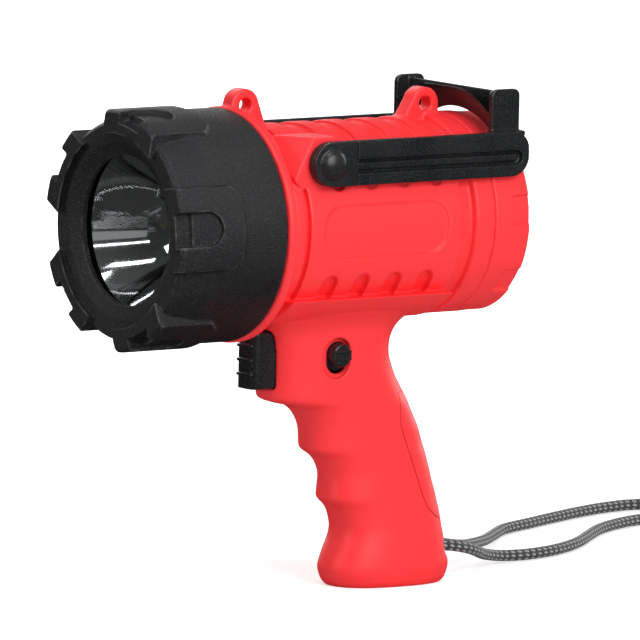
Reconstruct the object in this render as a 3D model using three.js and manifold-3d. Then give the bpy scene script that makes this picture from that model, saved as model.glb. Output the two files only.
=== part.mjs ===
// Handheld searchlight with a pistol grip, a screw-on rubber bezel and a folding stand.
//
// Lengths are millimetres and +Z is up. The model is built in the lamp's own frame: the lamp's
// axis runs along Y at x = 0, z = 0, and the aperture of the bezel is the plane y = 0. The whole
// group is then moved so that the origin is the middle of the grip's flat base.

import * as THREE from 'three';
import { mergeVertices } from 'three/addons/utils/BufferGeometryUtils.js';
import Module from 'manifold-3d';

const wasm = await Module();
wasm.setup();

// Fits and fineness

const clearance = 0.3;        // gap left between two pieces that seat on each other
const overrun = 2;            // how far a cut runs past the face that it cuts
const wall = 3;               // moulded wall of the housing and the grip
const roundSteps = 32;        // facets round the lamp's axis
const fineSteps = 24;         // facets round the optics
const smallSteps = 12;        // facets round pins, screws and buttons
const domeSteps = 3;          // facets of a quarter turn in a dome's profile
const arcSegments = 2;        // three.js draws each arc of an outline with twice this many facets
const fullTurn = Math.PI * 2;

// Driving sizes

const axisHeight = 166;       // lamp axis above the flat base
const baseSetback = 144.8;    // aperture plane to the middle of the base
const baseLength = 62;

const bezelRadius = 52;
const bezelRear = 51.6;
const bezelWall = 3.7;
const rimWidth = 18.6;        // bezel's outside to the edge of its aperture
const flangeStep = 0.6;       // housing's flange stands this much outside the bezel
const flangeDepth = 5.2;
const flangeRound = 1;
const grooveDepth = 4;
const grooveCut = 1.4;

const barrelStep = 8;         // bezel's outside to the barrel's
const panelProud = 1;
const panelEnd = 152;
const neckCut = 1.2;
const neckWidth = 7.4;
const ringWidth = 10.6;
const capStep = 1.1;          // cap and ring stand this much outside the barrel
const capEnd = 189.9;
const capRound = 3;

const pivotAlong = 79.5;
const armHalfHeight = 9.9;
const armGap = 0.48;          // between an arm's low edge and the cap that it passes
const armThickness = 4.2;
const armEnd = 188;

const cellLength = 60;
const cellShare = 0.4024;     // a cell's radius in the bore's

// Places that follow from them

const apertureRadius = bezelRadius - rimWidth;
const flangeRadius = bezelRadius + flangeStep;
const barrelRadius = bezelRadius - barrelStep;
const boreRadius = barrelRadius - wall;
const grooveRadius = barrelRadius - grooveCut;
const neckRadius = barrelRadius - neckCut;
const capRadius = barrelRadius + capStep;
const cellRadius = boreRadius * cellShare;
const armInner = capRadius - armThickness;
const pivotHeight = Math.sqrt(capRadius ** 2 - (armInner - armGap) ** 2) + armHalfHeight;

const flangeFront = bezelRear + clearance;
const flangeRear = flangeFront + flangeDepth;
const barrelFront = flangeRear + grooveDepth;
const ringFront = panelEnd + neckWidth;
const ringRear = ringFront + ringWidth;
const capFront = ringRear + clearance;
const armOuter = armInner + armThickness;

const unitX = new THREE.Vector3(1, 0, 0);
const unitY = new THREE.Vector3(0, 1, 0);
const unitZ = new THREE.Vector3(0, 0, 1);

// Solids from geometries

// A closed geometry, of any three.js class, as a solid that can be joined and cut.
function solidOf(geometry) {
  const bare = new THREE.BufferGeometry();
  bare.setAttribute('position', geometry.getAttribute('position'));
  bare.setIndex(geometry.getIndex());
  const merged = mergeVertices(bare);
  const places = merged.getAttribute('position').array;
  const corners = merged.getIndex().array;
  const faces = [];
  const [a, b, c] = [new THREE.Vector3(), new THREE.Vector3(), new THREE.Vector3()];
  let volume = 0;
  for (let i = 0; i < corners.length; i += 3) {
    const [p, q, r] = [corners[i], corners[i + 1], corners[i + 2]];
    if (p !== q && q !== r && r !== p) {
      faces.push(p, q, r);
      a.fromArray(places, p * 3);
      b.fromArray(places, q * 3);
      c.fromArray(places, r * 3);
      volume += a.dot(b.cross(c));
    }
  }
  if (volume < 0) faces.reverse();
  return new wasm.Manifold(new wasm.Mesh({
    numProp: 3,
    vertProperties: Float32Array.from(places),
    triVerts: Uint32Array.from(faces),
  }));
}

// The same solid as a geometry for a mesh.
function geometryOf(solid) {
  const { vertProperties, triVerts } = solid.getMesh();
  const geometry = new THREE.BufferGeometry();
  geometry.setAttribute('position', new THREE.BufferAttribute(Float32Array.from(vertProperties), 3));
  geometry.setIndex([...triVerts]);
  geometry.computeVertexNormals();
  return geometry;
}

const joined = (solids) => solids.reduce((whole, next) => whole.add(next));
const cut = (solid, ...tools) => tools.reduce((left, tool) => left.subtract(tool), solid);
const mirrored = (solid) => solid.mirror([1, 0, 0]);

// A profile of [radius, along] points turned round the lamp's axis.
function turned(profile, steps = roundSteps) {
  const points = profile.map(([radius, along]) => new THREE.Vector2(radius, along));
  return solidOf(new THREE.LatheGeometry(points, steps));
}

// A ring between two radii and two places along the axis.
function ring(inner, outer, start, end, steps = roundSteps) {
  return turned([[inner, start], [outer, start], [outer, end], [inner, end], [inner, start]], steps);
}

// A plain disc or shaft on the lamp's axis.
function disc(radius, start, end, steps = roundSteps) {
  return turned([[0, start], [radius, start], [radius, end], [0, end]], steps);
}

// Makes a solid of an outline pushed along the third of three axes.
function pushed(outline, depth, across, upward, along, start) {
  const geometry = new THREE.ExtrudeGeometry(outline, {
    depth,
    bevelEnabled: false,
    curveSegments: arcSegments,
  });
  geometry.translate(0, 0, start);
  geometry.applyMatrix4(new THREE.Matrix4().makeBasis(across, upward, along));
  return solidOf(geometry);
}

// Side view outline (Y, Z), pushed along X from one place to another.
function sideways(outline, from, to) {
  return pushed(outline, to - from, unitY, unitZ, unitX, from);
}

// Front view outline (X, Z), pushed along Y from one place to another.
function lengthways(outline, from, to) {
  return pushed(outline, to - from, unitX, unitZ, unitY.clone().negate(), -to);
}

// Plan outline (X, Y), pushed upward from one height to another.
function upright(outline, from, to) {
  return pushed(outline, to - from, unitX, unitY, unitZ, from);
}

// A round bar along X, from one place to another.
const crossBar = (radius, from, to, along, up) => (
  disc(radius, from, to, smallSteps).rotate([0, 0, -90]).translate([0, along, up])
);

// A round bar along Y, from one place to another.
const longBar = (radius, from, to, across, up) => (
  disc(radius, from, to, smallSteps).translate([across, 0, up])
);

// A dome's profile on the axis: from its crown out to its rim, then back inside what carries it.
function domeProfile(radius, height, base, facing, root) {
  const points = [];
  for (let i = 0; i <= domeSteps; i += 1) {
    const angle = (i / domeSteps) * (Math.PI / 2);
    points.push([Math.sin(angle) * radius, base + facing * Math.cos(angle) * height]);
  }
  return [...points, [radius, root], [0, root]];
}

// Outlines

// A rectangle with round corners about a centre.
function roundedRect(width, height, radius, across = 0, up = 0) {
  const [left, right] = [across - width / 2, across + width / 2];
  const [low, high] = [up - height / 2, up + height / 2];
  const quarter = Math.PI / 2;
  const shape = new THREE.Shape();
  shape.absarc(right - radius, low + radius, radius, -quarter, 0);
  shape.absarc(right - radius, high - radius, radius, 0, quarter);
  shape.absarc(left + radius, high - radius, radius, quarter, 2 * quarter);
  shape.absarc(left + radius, low + radius, radius, 2 * quarter, 3 * quarter);
  shape.closePath();
  return shape;
}

// A slot with fully round ends.
const slot = (width, height, across = 0, up = 0) => (
  roundedRect(width, height, Math.min(width, height) / 2, across, up)
);

// A full circle, as four quarter arcs.
const circle = (radius, across = 0, up = 0) => roundedRect(radius * 2, radius * 2, radius, across, up);

// A straight-sided outline through points.
const polygon = (points) => new THREE.Shape(points.map(([x, y]) => new THREE.Vector2(x, y)));

const rectangle = (left, right, low, high) => (
  polygon([[left, low], [right, low], [right, high], [left, high]])
);

// A smooth value at a share of the height, through a table of rows whose first column is the height.
function smoothShare(rows, column, share) {
  const last = rows.length - 1;
  let i = 0;
  while (i < last - 1 && share > rows[i + 1][0]) i += 1;
  const slopeAt = (k) => {
    const before = rows[Math.max(k - 1, 0)];
    const after = rows[Math.min(k + 1, last)];
    return (after[column] - before[column]) / (after[0] - before[0]);
  };
  const span = rows[i + 1][0] - rows[i][0];
  const t = (share - rows[i][0]) / span;
  const [start, end] = [rows[i][column], rows[i + 1][column]];
  const eased = t * t * (3 - 2 * t);
  const bow = t * (1 - t) * span;
  return start + (end - start) * eased + bow * (slopeAt(i) * (1 - t) - slopeAt(i + 1) * t);
}

// A closed solid through rings that hold the same number of points each.
function lofted(rings) {
  const count = rings[0].length;
  const places = rings.flat(2);
  const faces = [];
  for (let k = 0; k < rings.length - 1; k += 1) {
    for (let i = 0; i < count; i += 1) {
      const [a, b] = [k * count + i, k * count + ((i + 1) % count)];
      faces.push(a, b, b + count, a, b + count, a + count);
    }
  }
  const top = (rings.length - 1) * count;
  for (let i = 1; i < count - 1; i += 1) {
    faces.push(0, i + 1, i);
    faces.push(top, top + i, top + i + 1);
  }
  const geometry = new THREE.BufferGeometry();
  geometry.setAttribute('position', new THREE.Float32BufferAttribute(places, 3));
  geometry.setIndex(faces);
  return solidOf(geometry);
}

// A round wire or cord along a curve.
function wireAlong(curve, diameter, steps, sides) {
  const section = new THREE.Shape();
  for (let i = 0; i < sides; i += 1) {
    const angle = (i / sides) * fullTurn;
    const [x, y] = [Math.cos(angle) * diameter / 2, Math.sin(angle) * diameter / 2];
    if (i === 0) section.moveTo(x, y);
    else section.lineTo(x, y);
  }
  return solidOf(new THREE.ExtrudeGeometry(section, { steps, extrudePath: curve, bevelEnabled: false }));
}

// A compression spring on an axis from one place to another, wound from one unbroken wire.
const springSides = 5;
const springStepsPerTurn = 8;

class SpringCurve extends THREE.Curve {
  constructor(from, to, radius, turns, across) {
    super();
    Object.assign(this, { from, to, radius, turns });
    this.along = to.clone().sub(from);
    this.first = across.clone();
    this.second = this.along.clone().normalize().cross(across);
  }

  getPoint(t) {
    const angle = t * this.turns * fullTurn;
    return this.from.clone()
      .addScaledVector(this.along, t)
      .addScaledVector(this.first, Math.cos(angle) * this.radius)
      .addScaledVector(this.second, Math.sin(angle) * this.radius);
  }
}

function spring({ from, to, radius, turns, wire, across }) {
  const lift = to.clone().sub(from).normalize().multiplyScalar(wire);
  const curve = new SpringCurve(from.clone().add(lift), to.clone().sub(lift), radius, turns, across);
  return wireAlong(curve, wire, turns * springStepsPerTurn, springSides);
}

// Materials

const material = (color, roughness, metalness = 0) => (
  new THREE.MeshStandardMaterial({ color, roughness, metalness })
);
const red = material(0xe8282c, 0.5);
const blackRubber = material(0x1b1c1e, 0.75);
const blackPlastic = material(0x202224, 0.45);
const greyPlastic = material(0x5a5e63, 0.6);
const clearPlastic = material(0xdfe8ea, 0.08);
const chrome = material(0xd8dadc, 0.08, 1);
const steel = material(0xa9adb2, 0.3, 1);
const alloy = material(0xb9bdc2, 0.45, 0.9);
const brass = material(0xb89a4c, 0.35, 1);
const boardGreen = material(0x2d6b43, 0.6);
const ledYellow = material(0xe9c84a, 0.4);
const cellCoat = material(0x3a4652, 0.4, 0.3);
const sealRubber = material(0x2b2b2b, 0.8);
const wireRed = material(0xa82020, 0.5);
const cordGrey = material(0x4b4d50, 0.9);

const searchlight = new THREE.Group();
searchlight.position.set(0, -baseSetback, axisHeight);

function addPiece(name, solid, finish, parent = searchlight) {
  const mesh = new THREE.Mesh(geometryOf(solid), finish);
  mesh.name = name;
  parent.add(mesh);
  return mesh;
}

// Bezel: a rubber-armoured ring that screws over the front collar

const bezel = {
  frontLip: 3.5,            // how far the rim stands ahead of the aperture plane
  mouthRise: 2.8,
  rimStep: 3,               // bezel's outside to its front edge
  taperEnd: 12,
  edgeRound: 0.8,
  seatDepth: 2.2,           // aperture plane to the inner face that holds the gasket
  rimFace: 5.6,             // width of the sloping face round the aperture
};
const rimRadius = bezelRadius - bezel.rimStep;

const lugWidthShare = 0.3577; // half a lug's width in the bezel's radius

const lug = {
  count: 5,
  tiltShare: 0.01667,       // share of a turn from +X to the middle of the first lug
  halfWidth: bezelRadius * lugWidthShare,
  proud: 1.6,
  rearEnd: 28.6,
  cornerCut: 6.5,
  frontRise: 3,
  frontBevel: 1.4,
  slotHalfWidth: 7.6,
  slotEnd: 15.5,
  slotDepth: 1.5,
  recessDepth: 0.9,
  root: 6,
};

// The lens stack: gasket, lens and the reflector's rim, clamped between the bezel and the collar
const lens = { thickness: 3, edge: 0.5, gasket: 1.2, gasketInset: 2, setIn: 3 };
const reflector = {
  rimDepth: 1.6,
  rimStep: 2.6,
  throatRadius: 6.2,
  depth: 29,
  shell: 1.2,
  steps: 6,
};
const bowlRadius = apertureRadius + reflector.rimStep;
const gasketFront = bezel.seatDepth + clearance;
const lensFront = gasketFront + lens.gasket + clearance;
const lensRear = lensFront + lens.thickness;
const reflectorFront = lensRear + clearance;

const collar = {
  front: reflectorFront + reflector.rimDepth + clearance,
  radius: bezelRadius - bezelWall - clearance,
  wall: 5,
};
const collarInner = collar.radius - collar.wall;
const opticsRadius = collar.radius - lens.setIn;

function makeBezel() {
  const inner = bezelRadius - bezelWall;
  const pocketRadius = opticsRadius + clearance;
  const body = turned([
    [apertureRadius, 0],
    [apertureRadius + bezel.rimFace, -bezel.mouthRise],
    [rimRadius - bezel.edgeRound * 2, -bezel.frontLip],
    [rimRadius, -bezel.frontLip + bezel.edgeRound * 2],
    [bezelRadius - bezel.edgeRound, bezel.taperEnd - bezel.edgeRound * 2],
    [bezelRadius, bezel.taperEnd + bezel.edgeRound * 2],
    [bezelRadius, bezelRear - bezel.edgeRound],
    [bezelRadius - bezel.edgeRound, bezelRear],
    [inner, bezelRear],
    [inner, collar.front - clearance],
    [pocketRadius, collar.front - clearance],
    [pocketRadius, bezel.seatDepth],
    [apertureRadius, bezel.seatDepth],
    [apertureRadius, 0],
  ]);

  // The lug's outline is drawn on the plane that touches its middle: across it and along the axis.
  const frontEnd = -bezel.frontLip - lug.frontRise;
  const outline = polygon([
    [-lug.halfWidth, frontEnd],
    [lug.halfWidth, frontEnd],
    [lug.halfWidth, lug.rearEnd - lug.cornerCut],
    [lug.halfWidth - lug.cornerCut, lug.rearEnd],
    [lug.cornerCut - lug.halfWidth, lug.rearEnd],
    [-lug.halfWidth, lug.rearEnd - lug.cornerCut],
  ]);
  const outer = bezelRadius + lug.proud;
  const skin = turned([
    [rimRadius - lug.root, frontEnd],
    [outer - lug.frontBevel, frontEnd],
    [outer, frontEnd + lug.frontBevel],
    [outer, lug.rearEnd - lug.proud],
    [outer - lug.proud, lug.rearEnd],
    [bezelRadius - bezelWall / 2, lug.rearEnd],
    [bezelRadius - bezelWall / 2, bezel.taperEnd],
    [rimRadius - overrun, bezel.seatDepth],
    [rimRadius - lug.root, frontEnd],
  ]);
  const slotStart = frontEnd - overrun - lug.slotHalfWidth;
  const slotShape = slot(lug.slotHalfWidth * 2, lug.slotEnd - slotStart, 0, (lug.slotEnd + slotStart) / 2);
  const slotFloor = outer - lug.slotDepth;
  const slotRing = ring(slotFloor, outer + overrun, frontEnd - overrun, lug.slotEnd + overrun);
  const slotMouth = ring(rimRadius - overrun / 2, outer + overrun, frontEnd - overrun, 0);
  const pushOut = outer + overrun;
  const padTool = upright(outline, 0, pushOut);
  const slotTool = upright(slotShape, 0, pushOut).intersect(slotRing.add(slotMouth));
  const lugSolid = cut(padTool.intersect(skin), slotTool);
  const recess = upright(slotShape, 0, pushOut)
    .intersect(ring(bezelRadius - lug.recessDepth, outer + overrun, 0, lug.slotEnd + overrun));

  let whole = body;
  for (let i = 0; i < lug.count; i += 1) {
    const turn = 90 - 360 * (i / lug.count + lug.tiltShare);
    whole = whole.subtract(recess.rotate([0, turn, 0])).add(lugSolid.rotate([0, turn, 0]));
  }
  return whole;
}

// Optics inside the bezel

const makeGasket = () => (
  ring(apertureRadius + lens.gasketInset, opticsRadius, gasketFront, gasketFront + lens.gasket, fineSteps)
);

function makeLens() {
  return turned([
    [0, lensFront],
    [opticsRadius - lens.edge, lensFront],
    [opticsRadius, lensFront + lens.edge],
    [opticsRadius, lensRear - lens.edge],
    [opticsRadius - lens.edge, lensRear],
    [0, lensRear],
  ], fineSteps);
}

const throatPlane = reflectorFront + reflector.depth;

function makeReflector() {
  const bowl = (thickness) => {
    const points = [];
    for (let i = 0; i <= reflector.steps; i += 1) {
      const inward = (bowlRadius - reflector.throatRadius) * (i / reflector.steps);
      const radius = bowlRadius - inward;
      const span = bowlRadius ** 2 - reflector.throatRadius ** 2;
      const share = (bowlRadius ** 2 - radius ** 2) / span;
      points.push([radius + thickness, reflectorFront + reflector.depth * share]);
    }
    return points;
  };
  const inside = bowl(0);
  const outside = bowl(reflector.shell).reverse();
  outside[outside.length - 1] = [bowlRadius + reflector.shell, reflectorFront + reflector.rimDepth];
  return turned([
    ...inside,
    ...outside,
    [opticsRadius, reflectorFront + reflector.rimDepth],
    [opticsRadius, reflectorFront],
    [bowlRadius, reflectorFront],
  ], fineSteps);
}

const led = {
  boardRadius: 16,
  boardThickness: 1.6,
  baseSize: 5,
  baseThickness: 1,
  domeRadius: 1.9,
};
const boardFront = throatPlane + clearance;
const boardRear = boardFront + led.boardThickness;

function makeEmitter() {
  const rear = boardFront - clearance;
  const front = rear - led.baseThickness;
  const base = lengthways(roundedRect(led.baseSize, led.baseSize, led.baseThickness / 2), front, rear);
  const root = front + led.baseThickness / 2;
  const dome = turned(domeProfile(led.domeRadius, led.domeRadius, front, -1, root), smallSteps);
  return base.add(dome);
}

const sink = {
  bossStep: 1,              // the boss stands this much outside the board
  bossDepth: 6,
  plateThickness: 3,
  finCount: 7,
  finThickness: 1.6,
  finDepth: 12,
  finSpanShare: 0.93,       // the fins' span in the collar's inner radius
  pitchShare: 0.135,        // from fin to fin, in their span
};
const finSpan = collarInner * sink.finSpanShare;
const finPitch = finSpan * sink.pitchShare;
const sinkFront = boardRear + clearance;
const plateFront = sinkFront + sink.bossDepth;
const plateRear = plateFront + sink.plateThickness;

const boardScrew = {
  count: 2,
  radius: 1.2,
  headRadius: 2.1,
  headHeight: 1,
  length: 5,
  inset: 3,
};
const screwCircle = led.boardRadius - boardScrew.inset;

// Places round the lamp's axis, as [x, z] pairs.
function around(count, radius, turn = 0) {
  return Array.from({ length: count }, (_, i) => {
    const angle = (i / count + turn) * fullTurn;
    return [Math.cos(angle) * radius, Math.sin(angle) * radius];
  });
}

function makeHeatSink() {
  let whole = disc(led.boardRadius + sink.bossStep, sinkFront, plateFront + overrun / 2, fineSteps)
    .add(disc(collarInner - clearance, plateFront, plateRear, fineSteps));
  const round = disc(finSpan / 2, plateRear - overrun / 2, plateRear + sink.finDepth, fineSteps);
  for (let i = 0; i < sink.finCount; i += 1) {
    const x = (i - (sink.finCount - 1) / 2) * finPitch;
    const fin = lengthways(roundedRect(sink.finThickness, finSpan, sink.finThickness / 4, x),
      plateRear - overrun / 2, plateRear + sink.finDepth);
    whole = whole.add(fin.intersect(round));
  }
  const hole = boardScrew.radius + clearance;
  for (const [x, z] of around(boardScrew.count, screwCircle)) {
    whole = whole.subtract(longBar(hole, sinkFront - overrun, sinkFront + boardScrew.length, x, z));
  }
  return whole;
}

function makeBoard() {
  let board = disc(led.boardRadius, boardFront, boardRear, fineSteps);
  for (const [x, z] of around(boardScrew.count, screwCircle)) {
    board = board.subtract(longBar(boardScrew.radius + clearance, boardFront - overrun,
      boardRear + overrun, x, z));
  }
  return board;
}

function makeBoardScrew([x, z]) {
  const seat = boardFront - clearance;
  const head = longBar(boardScrew.headRadius, seat - boardScrew.headHeight, seat, x, z);
  const shank = longBar(boardScrew.radius, seat - clearance, sinkFront + boardScrew.length - clearance, x, z);
  return head.add(shank);
}

// Seals: plain rubber rings in turned grooves

const seal = { wire: 1.6, sides: 6, rearThickness: 1.4, rearInset: 3.6 };

function makeSeal(radius, along) {
  const points = [];
  for (let i = 0; i <= seal.sides; i += 1) {
    const angle = (i % seal.sides) / seal.sides * fullTurn;
    points.push([radius + Math.cos(angle) * seal.wire / 2, along + Math.sin(angle) * seal.wire / 2]);
  }
  return turned(points, fineSteps);
}

const sealGroove = seal.wire + clearance * 2;
const frontSealAlong = bezelRear - sealGroove * 2;

// Rear cap: screws over the housing's rear collar

const cap = {
  wall: 2.2,
  endWall: 3,
  edge: 0.6,
  dishInset: 7,
  dishDepth: 0.8,
  recessCount: 8,
  recessLength: 11,
  recessWidth: 13,
  recessCorner: 3,
  recessDepth: 1.4,
};
const capInner = capRadius - cap.wall;
const capFace = capEnd - cap.endWall;             // inner face of the cap's end
const tailRadius = capInner - clearance;          // rear collar that the cap screws over
const tailEnd = capFace - seal.rearThickness - clearance * 2;

function makeCap() {
  const profile = [
    [0, capFace],
    [capInner, capFace],
    [capInner, capFront],
    [capRadius - cap.edge, capFront],
    [capRadius, capFront + cap.edge],
  ];
  for (let i = 0; i <= domeSteps; i += 1) {
    const angle = (i / domeSteps) * (Math.PI / 2);
    profile.push([
      capRadius - capRound + Math.cos(angle) * capRound,
      capEnd - capRound + Math.sin(angle) * capRound,
    ]);
  }
  const dishRadius = capRadius - cap.dishInset;
  profile.push([dishRadius, capEnd], [dishRadius - cap.dishDepth, capEnd - cap.dishDepth]);
  profile.push([0, capEnd - cap.dishDepth]);
  const skin = ring(capRadius - cap.recessDepth, capRadius + overrun, capFront, capEnd + overrun);
  const outline = roundedRect(cap.recessWidth, cap.recessLength * 2, cap.recessCorner, 0, capEnd);
  const recess = upright(outline, 0, capRadius + overrun).intersect(skin);
  let whole = turned(profile);
  for (let i = 0; i < cap.recessCount; i += 1) {
    whole = whole.subtract(recess.rotate([0, 90 - 360 * (i / cap.recessCount + lug.tiltShare), 0]));
  }
  return whole;
}

const makeCapSeal = () => (
  ring(tailRadius - seal.rearInset, tailRadius, tailEnd + clearance, capFace - clearance, fineSteps)
);

// Main housing: one moulding of collars, flange, barrel, eyelets, hinge bosses, saddle and grip

// Stations of the grip from the base up. Heights are shares of the axis height, places along Y
// are shares of the base length from the middle of the base, and widths are shares of it too.
const gripStationShares = [
  // height, front, rear, half width, squareness
  [0.000, -0.452, 0.452, 0.266, 0.34],
  [0.012, -0.482, 0.482, 0.288, 0.40],
  [0.048, -0.506, 0.508, 0.300, 0.46],
  [0.078, -0.492, 0.490, 0.296, 0.50],
  [0.114, -0.452, 0.463, 0.286, 0.56],
  [0.145, -0.420, 0.444, 0.281, 0.55],
  [0.172, -0.418, 0.428, 0.277, 0.55],
  [0.205, -0.462, 0.408, 0.273, 0.55],
  [0.235, -0.506, 0.387, 0.270, 0.55],
  [0.271, -0.522, 0.354, 0.267, 0.55],
  [0.307, -0.530, 0.325, 0.265, 0.55],
  [0.340, -0.570, 0.297, 0.265, 0.55],
  [0.370, -0.650, 0.270, 0.266, 0.55],
  [0.398, -0.692, 0.242, 0.268, 0.55],
  [0.430, -0.710, 0.208, 0.271, 0.56],
  [0.464, -0.762, 0.160, 0.275, 0.57],
  [0.494, -0.860, 0.120, 0.280, 0.58],
  [0.516, -1.020, 0.092, 0.284, 0.60],
  [0.533, -1.120, 0.064, 0.288, 0.62],
  [0.570, -1.129, 0.005, 0.294, 0.62],
  [0.610, -1.129, -0.038, 0.300, 0.62],
  [0.640, -1.129, -0.056, 0.306, 0.62],
  [0.675, -1.129, -0.044, 0.320, 0.62],
  [0.700, -1.150, -0.010, 0.350, 0.64],
  [0.730, -1.250, 0.010, 0.430, 0.70],
  [0.760, -1.360, 0.020, 0.530, 0.76],
  [0.785, -1.410, 0.050, 0.600, 0.82],
  [0.806, -1.415, 0.112, 0.628, 1.50],
  [0.812, -1.415, 0.116, 0.628, 1.60],
];
const grip = {
  rows: 23,
  points: 24,
  cavityRows: 7,
  cavityPoints: 14,
  cavityTopShare: 0.715,
  floor: 3.5,
};

// One ring of the grip at a share of the height, drawn in all round by an inset.
function gripRing(share, inset, count) {
  const [front, rear, half, squareness] = [1, 2, 3, 4].map((k) => smoothShare(gripStationShares, k, share));
  const middle = baseSetback + baseLength * (front + rear) / 2;
  const halfLength = baseLength * (rear - front) / 2 - inset;
  const halfWidth = baseLength * half - inset;
  const height = axisHeight * (share - 1);
  const power = 1 - squareness / 2;
  return Array.from({ length: count }, (_, i) => {
    const angle = (i / count) * fullTurn;
    const [c, s] = [Math.cos(angle), Math.sin(angle)];
    return [
      Math.sign(c) * Math.abs(c) ** power * halfWidth,
      middle + Math.sign(s) * Math.abs(s) ** power * halfLength,
      height,
    ];
  });
}

function gripLoft(low, high, rows, inset, count) {
  const rings = [];
  for (let k = 0; k <= rows; k += 1) rings.push(gripRing(low + (high - low) * (k / rows), inset, count));
  return lofted(rings);
}

const gripTopShare = gripStationShares[gripStationShares.length - 1][0];
const gripOuter = gripLoft(0, gripTopShare, grip.rows, 0, grip.points);
const gripCavity = gripLoft(
  grip.floor / axisHeight,
  grip.cavityTopShare,
  grip.cavityRows,
  wall,
  grip.cavityPoints,
);

// Height, in the lamp's frame, of a share of the axis height above the base.
const heightAt = (share) => axisHeight * (share - 1);
const gripCavityTop = heightAt(grip.cavityTopShare);
// Place along Y of a share of the base length from the middle of the base.
const alongAt = (share) => baseSetback + baseLength * share;

// The back strap's side view: its parting line runs down inside the grip's rear edge.
const strapShares = [
  // along, height
  [-0.052, 0.526],
  [-0.055, 0.443],
  [0.166, 0.242],
  [0.215, 0.207],
  [0.306, 0.182],
  [0.700, 0.164],
  [0.700, 0.526],
];

function strapTool(gap) {
  const outline = polygon(strapShares.map(([along, height], i) => {
    const rise = i === 0 || i === strapShares.length - 1 ? gap : -gap;
    return [alongAt(along) - gap, heightAt(height) + rise];
  }));
  return sideways(outline, -baseLength, baseLength);
}

const eyelet = {
  radius: 7.2,
  holeRadius: 3.2,
  thickness: 8,
  frontAlong: 61.2,
  frontRise: 9.1,           // barrel's top up to the middle of the hole
  rearAlong: 160,
  rearRise: 5.7,
  slopeShare: 0.72,
};

const frontEyeletUp = barrelRadius + eyelet.frontRise;
const rearEyeletUp = barrelRadius + eyelet.rearRise;

// An eyelet's side view: a round boss with a leg that slopes down to the barrel on one side.
function eyeletBody(along, height, legAlong, legSide, foot) {
  const tangent = (fullTurn / 4) * legSide * eyelet.slopeShare;
  const touch = [along + Math.sin(tangent) * eyelet.radius, height + Math.cos(tangent) * eyelet.radius];
  const leg = polygon([
    [along - legSide * eyelet.radius, height],
    [along, height],
    touch,
    [legAlong, foot],
    [legAlong, foot - eyelet.radius],
    [along - legSide * eyelet.radius, foot - eyelet.radius],
  ]);
  const half = eyelet.thickness / 2;
  return sideways(circle(eyelet.radius, along, height), -half, half).add(sideways(leg, -half, half));
}

const eyeletHole = (along, height) => (
  sideways(circle(eyelet.holeRadius, along, height), -eyelet.thickness, eyelet.thickness)
);

const groovePattern = {
  count: 4,
  first: 86.5,
  pitch: 17.8,
  width: 9,
  depth: 2,
  upperEnd: 17.5,
  lowerFirst: 84.8,
  lowerPitch: 17.4,
  lowerWidth: 8.2,
  lowerEnd: -20.5,
};

function makeGrooves() {
  const last = groovePattern.first + groovePattern.pitch * (groovePattern.count - 1);
  const skin = ring(barrelRadius - groovePattern.depth, barrelRadius + panelProud + overrun,
    groovePattern.first - groovePattern.width, last + groovePattern.width);
  const reach = barrelRadius * 2;
  const slots = [];
  for (let i = 0; i < groovePattern.count; i += 1) {
    const upperAlong = groovePattern.first + groovePattern.pitch * i;
    const lowerAlong = groovePattern.lowerFirst + groovePattern.lowerPitch * i;
    slots.push(slot(groovePattern.width, reach, upperAlong, groovePattern.upperEnd + reach / 2));
    slots.push(slot(groovePattern.lowerWidth, reach, lowerAlong, groovePattern.lowerEnd - reach / 2));
  }
  return joined(slots.map((outline) => sideways(outline, -reach, reach))).intersect(skin);
}

const panel = {
  start: 68.5,
  top: 24,
  bottom: -36,
  recessLength: 68,
  recessHeight: 23.6,
  recessAlong: 110.8,
  recessUp: -0.6,
  recessCorner: 10,
  recessDepth: 1.2,
};

function makePanels() {
  const skin = ring(boreRadius, barrelRadius + panelProud, panel.start, panelEnd);
  const outline = roundedRect(panelEnd - panel.start, panel.top - panel.bottom, panelProud,
    (panelEnd + panel.start) / 2, (panel.top + panel.bottom) / 2);
  return sideways(outline, -bezelRadius, bezelRadius).intersect(skin);
}

function makePanelRecess() {
  const floor = barrelRadius + panelProud - panel.recessDepth;
  const skin = ring(floor, barrelRadius + panelProud + overrun, panel.start, panelEnd);
  const outline = roundedRect(panel.recessLength, panel.recessHeight, panel.recessCorner,
    panel.recessAlong, panel.recessUp);
  return sideways(outline, -bezelRadius, bezelRadius).intersect(skin);
}

const boss = {
  rear: 93,
  drop: 11.3,               // below and above the pivot
  rise: 10.9,
  corner: 8,
  depth: 17,
  pinRadius: 3,
  pinDepth: 8,
};
const bossFace = armInner - clearance;
const bossLow = pivotHeight - boss.drop;
const bossHigh = pivotHeight + boss.rise;

// One hinge boss, on the +X side: a rounded block that fills the barrel's shoulder.
function makeBoss() {
  const outline = roundedRect(boss.rear - barrelFront, bossHigh - bossLow, boss.corner,
    (boss.rear + barrelFront) / 2, (bossHigh + bossLow) / 2);
  return sideways(outline, armInner - boss.depth, bossFace);
}

const inside = {
  bulkheadFront: 110,
  bulkheadThickness: 3,
  shelfHole: finSpan / 2 + overrun,
  wireHole: 4,
  wireHoleDrop: 11,         // from the top of the bore
  ductGap: 1.2,
};
const wireHoleUp = boreRadius - inside.wireHoleDrop;
const shelfFront = plateRear + clearance;
const shelfRear = shelfFront + wall;
const bulkheadRear = inside.bulkheadFront + inside.bulkheadThickness;
const ductAlong = inside.bulkheadFront - inside.wireHole - inside.ductGap;

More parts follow.
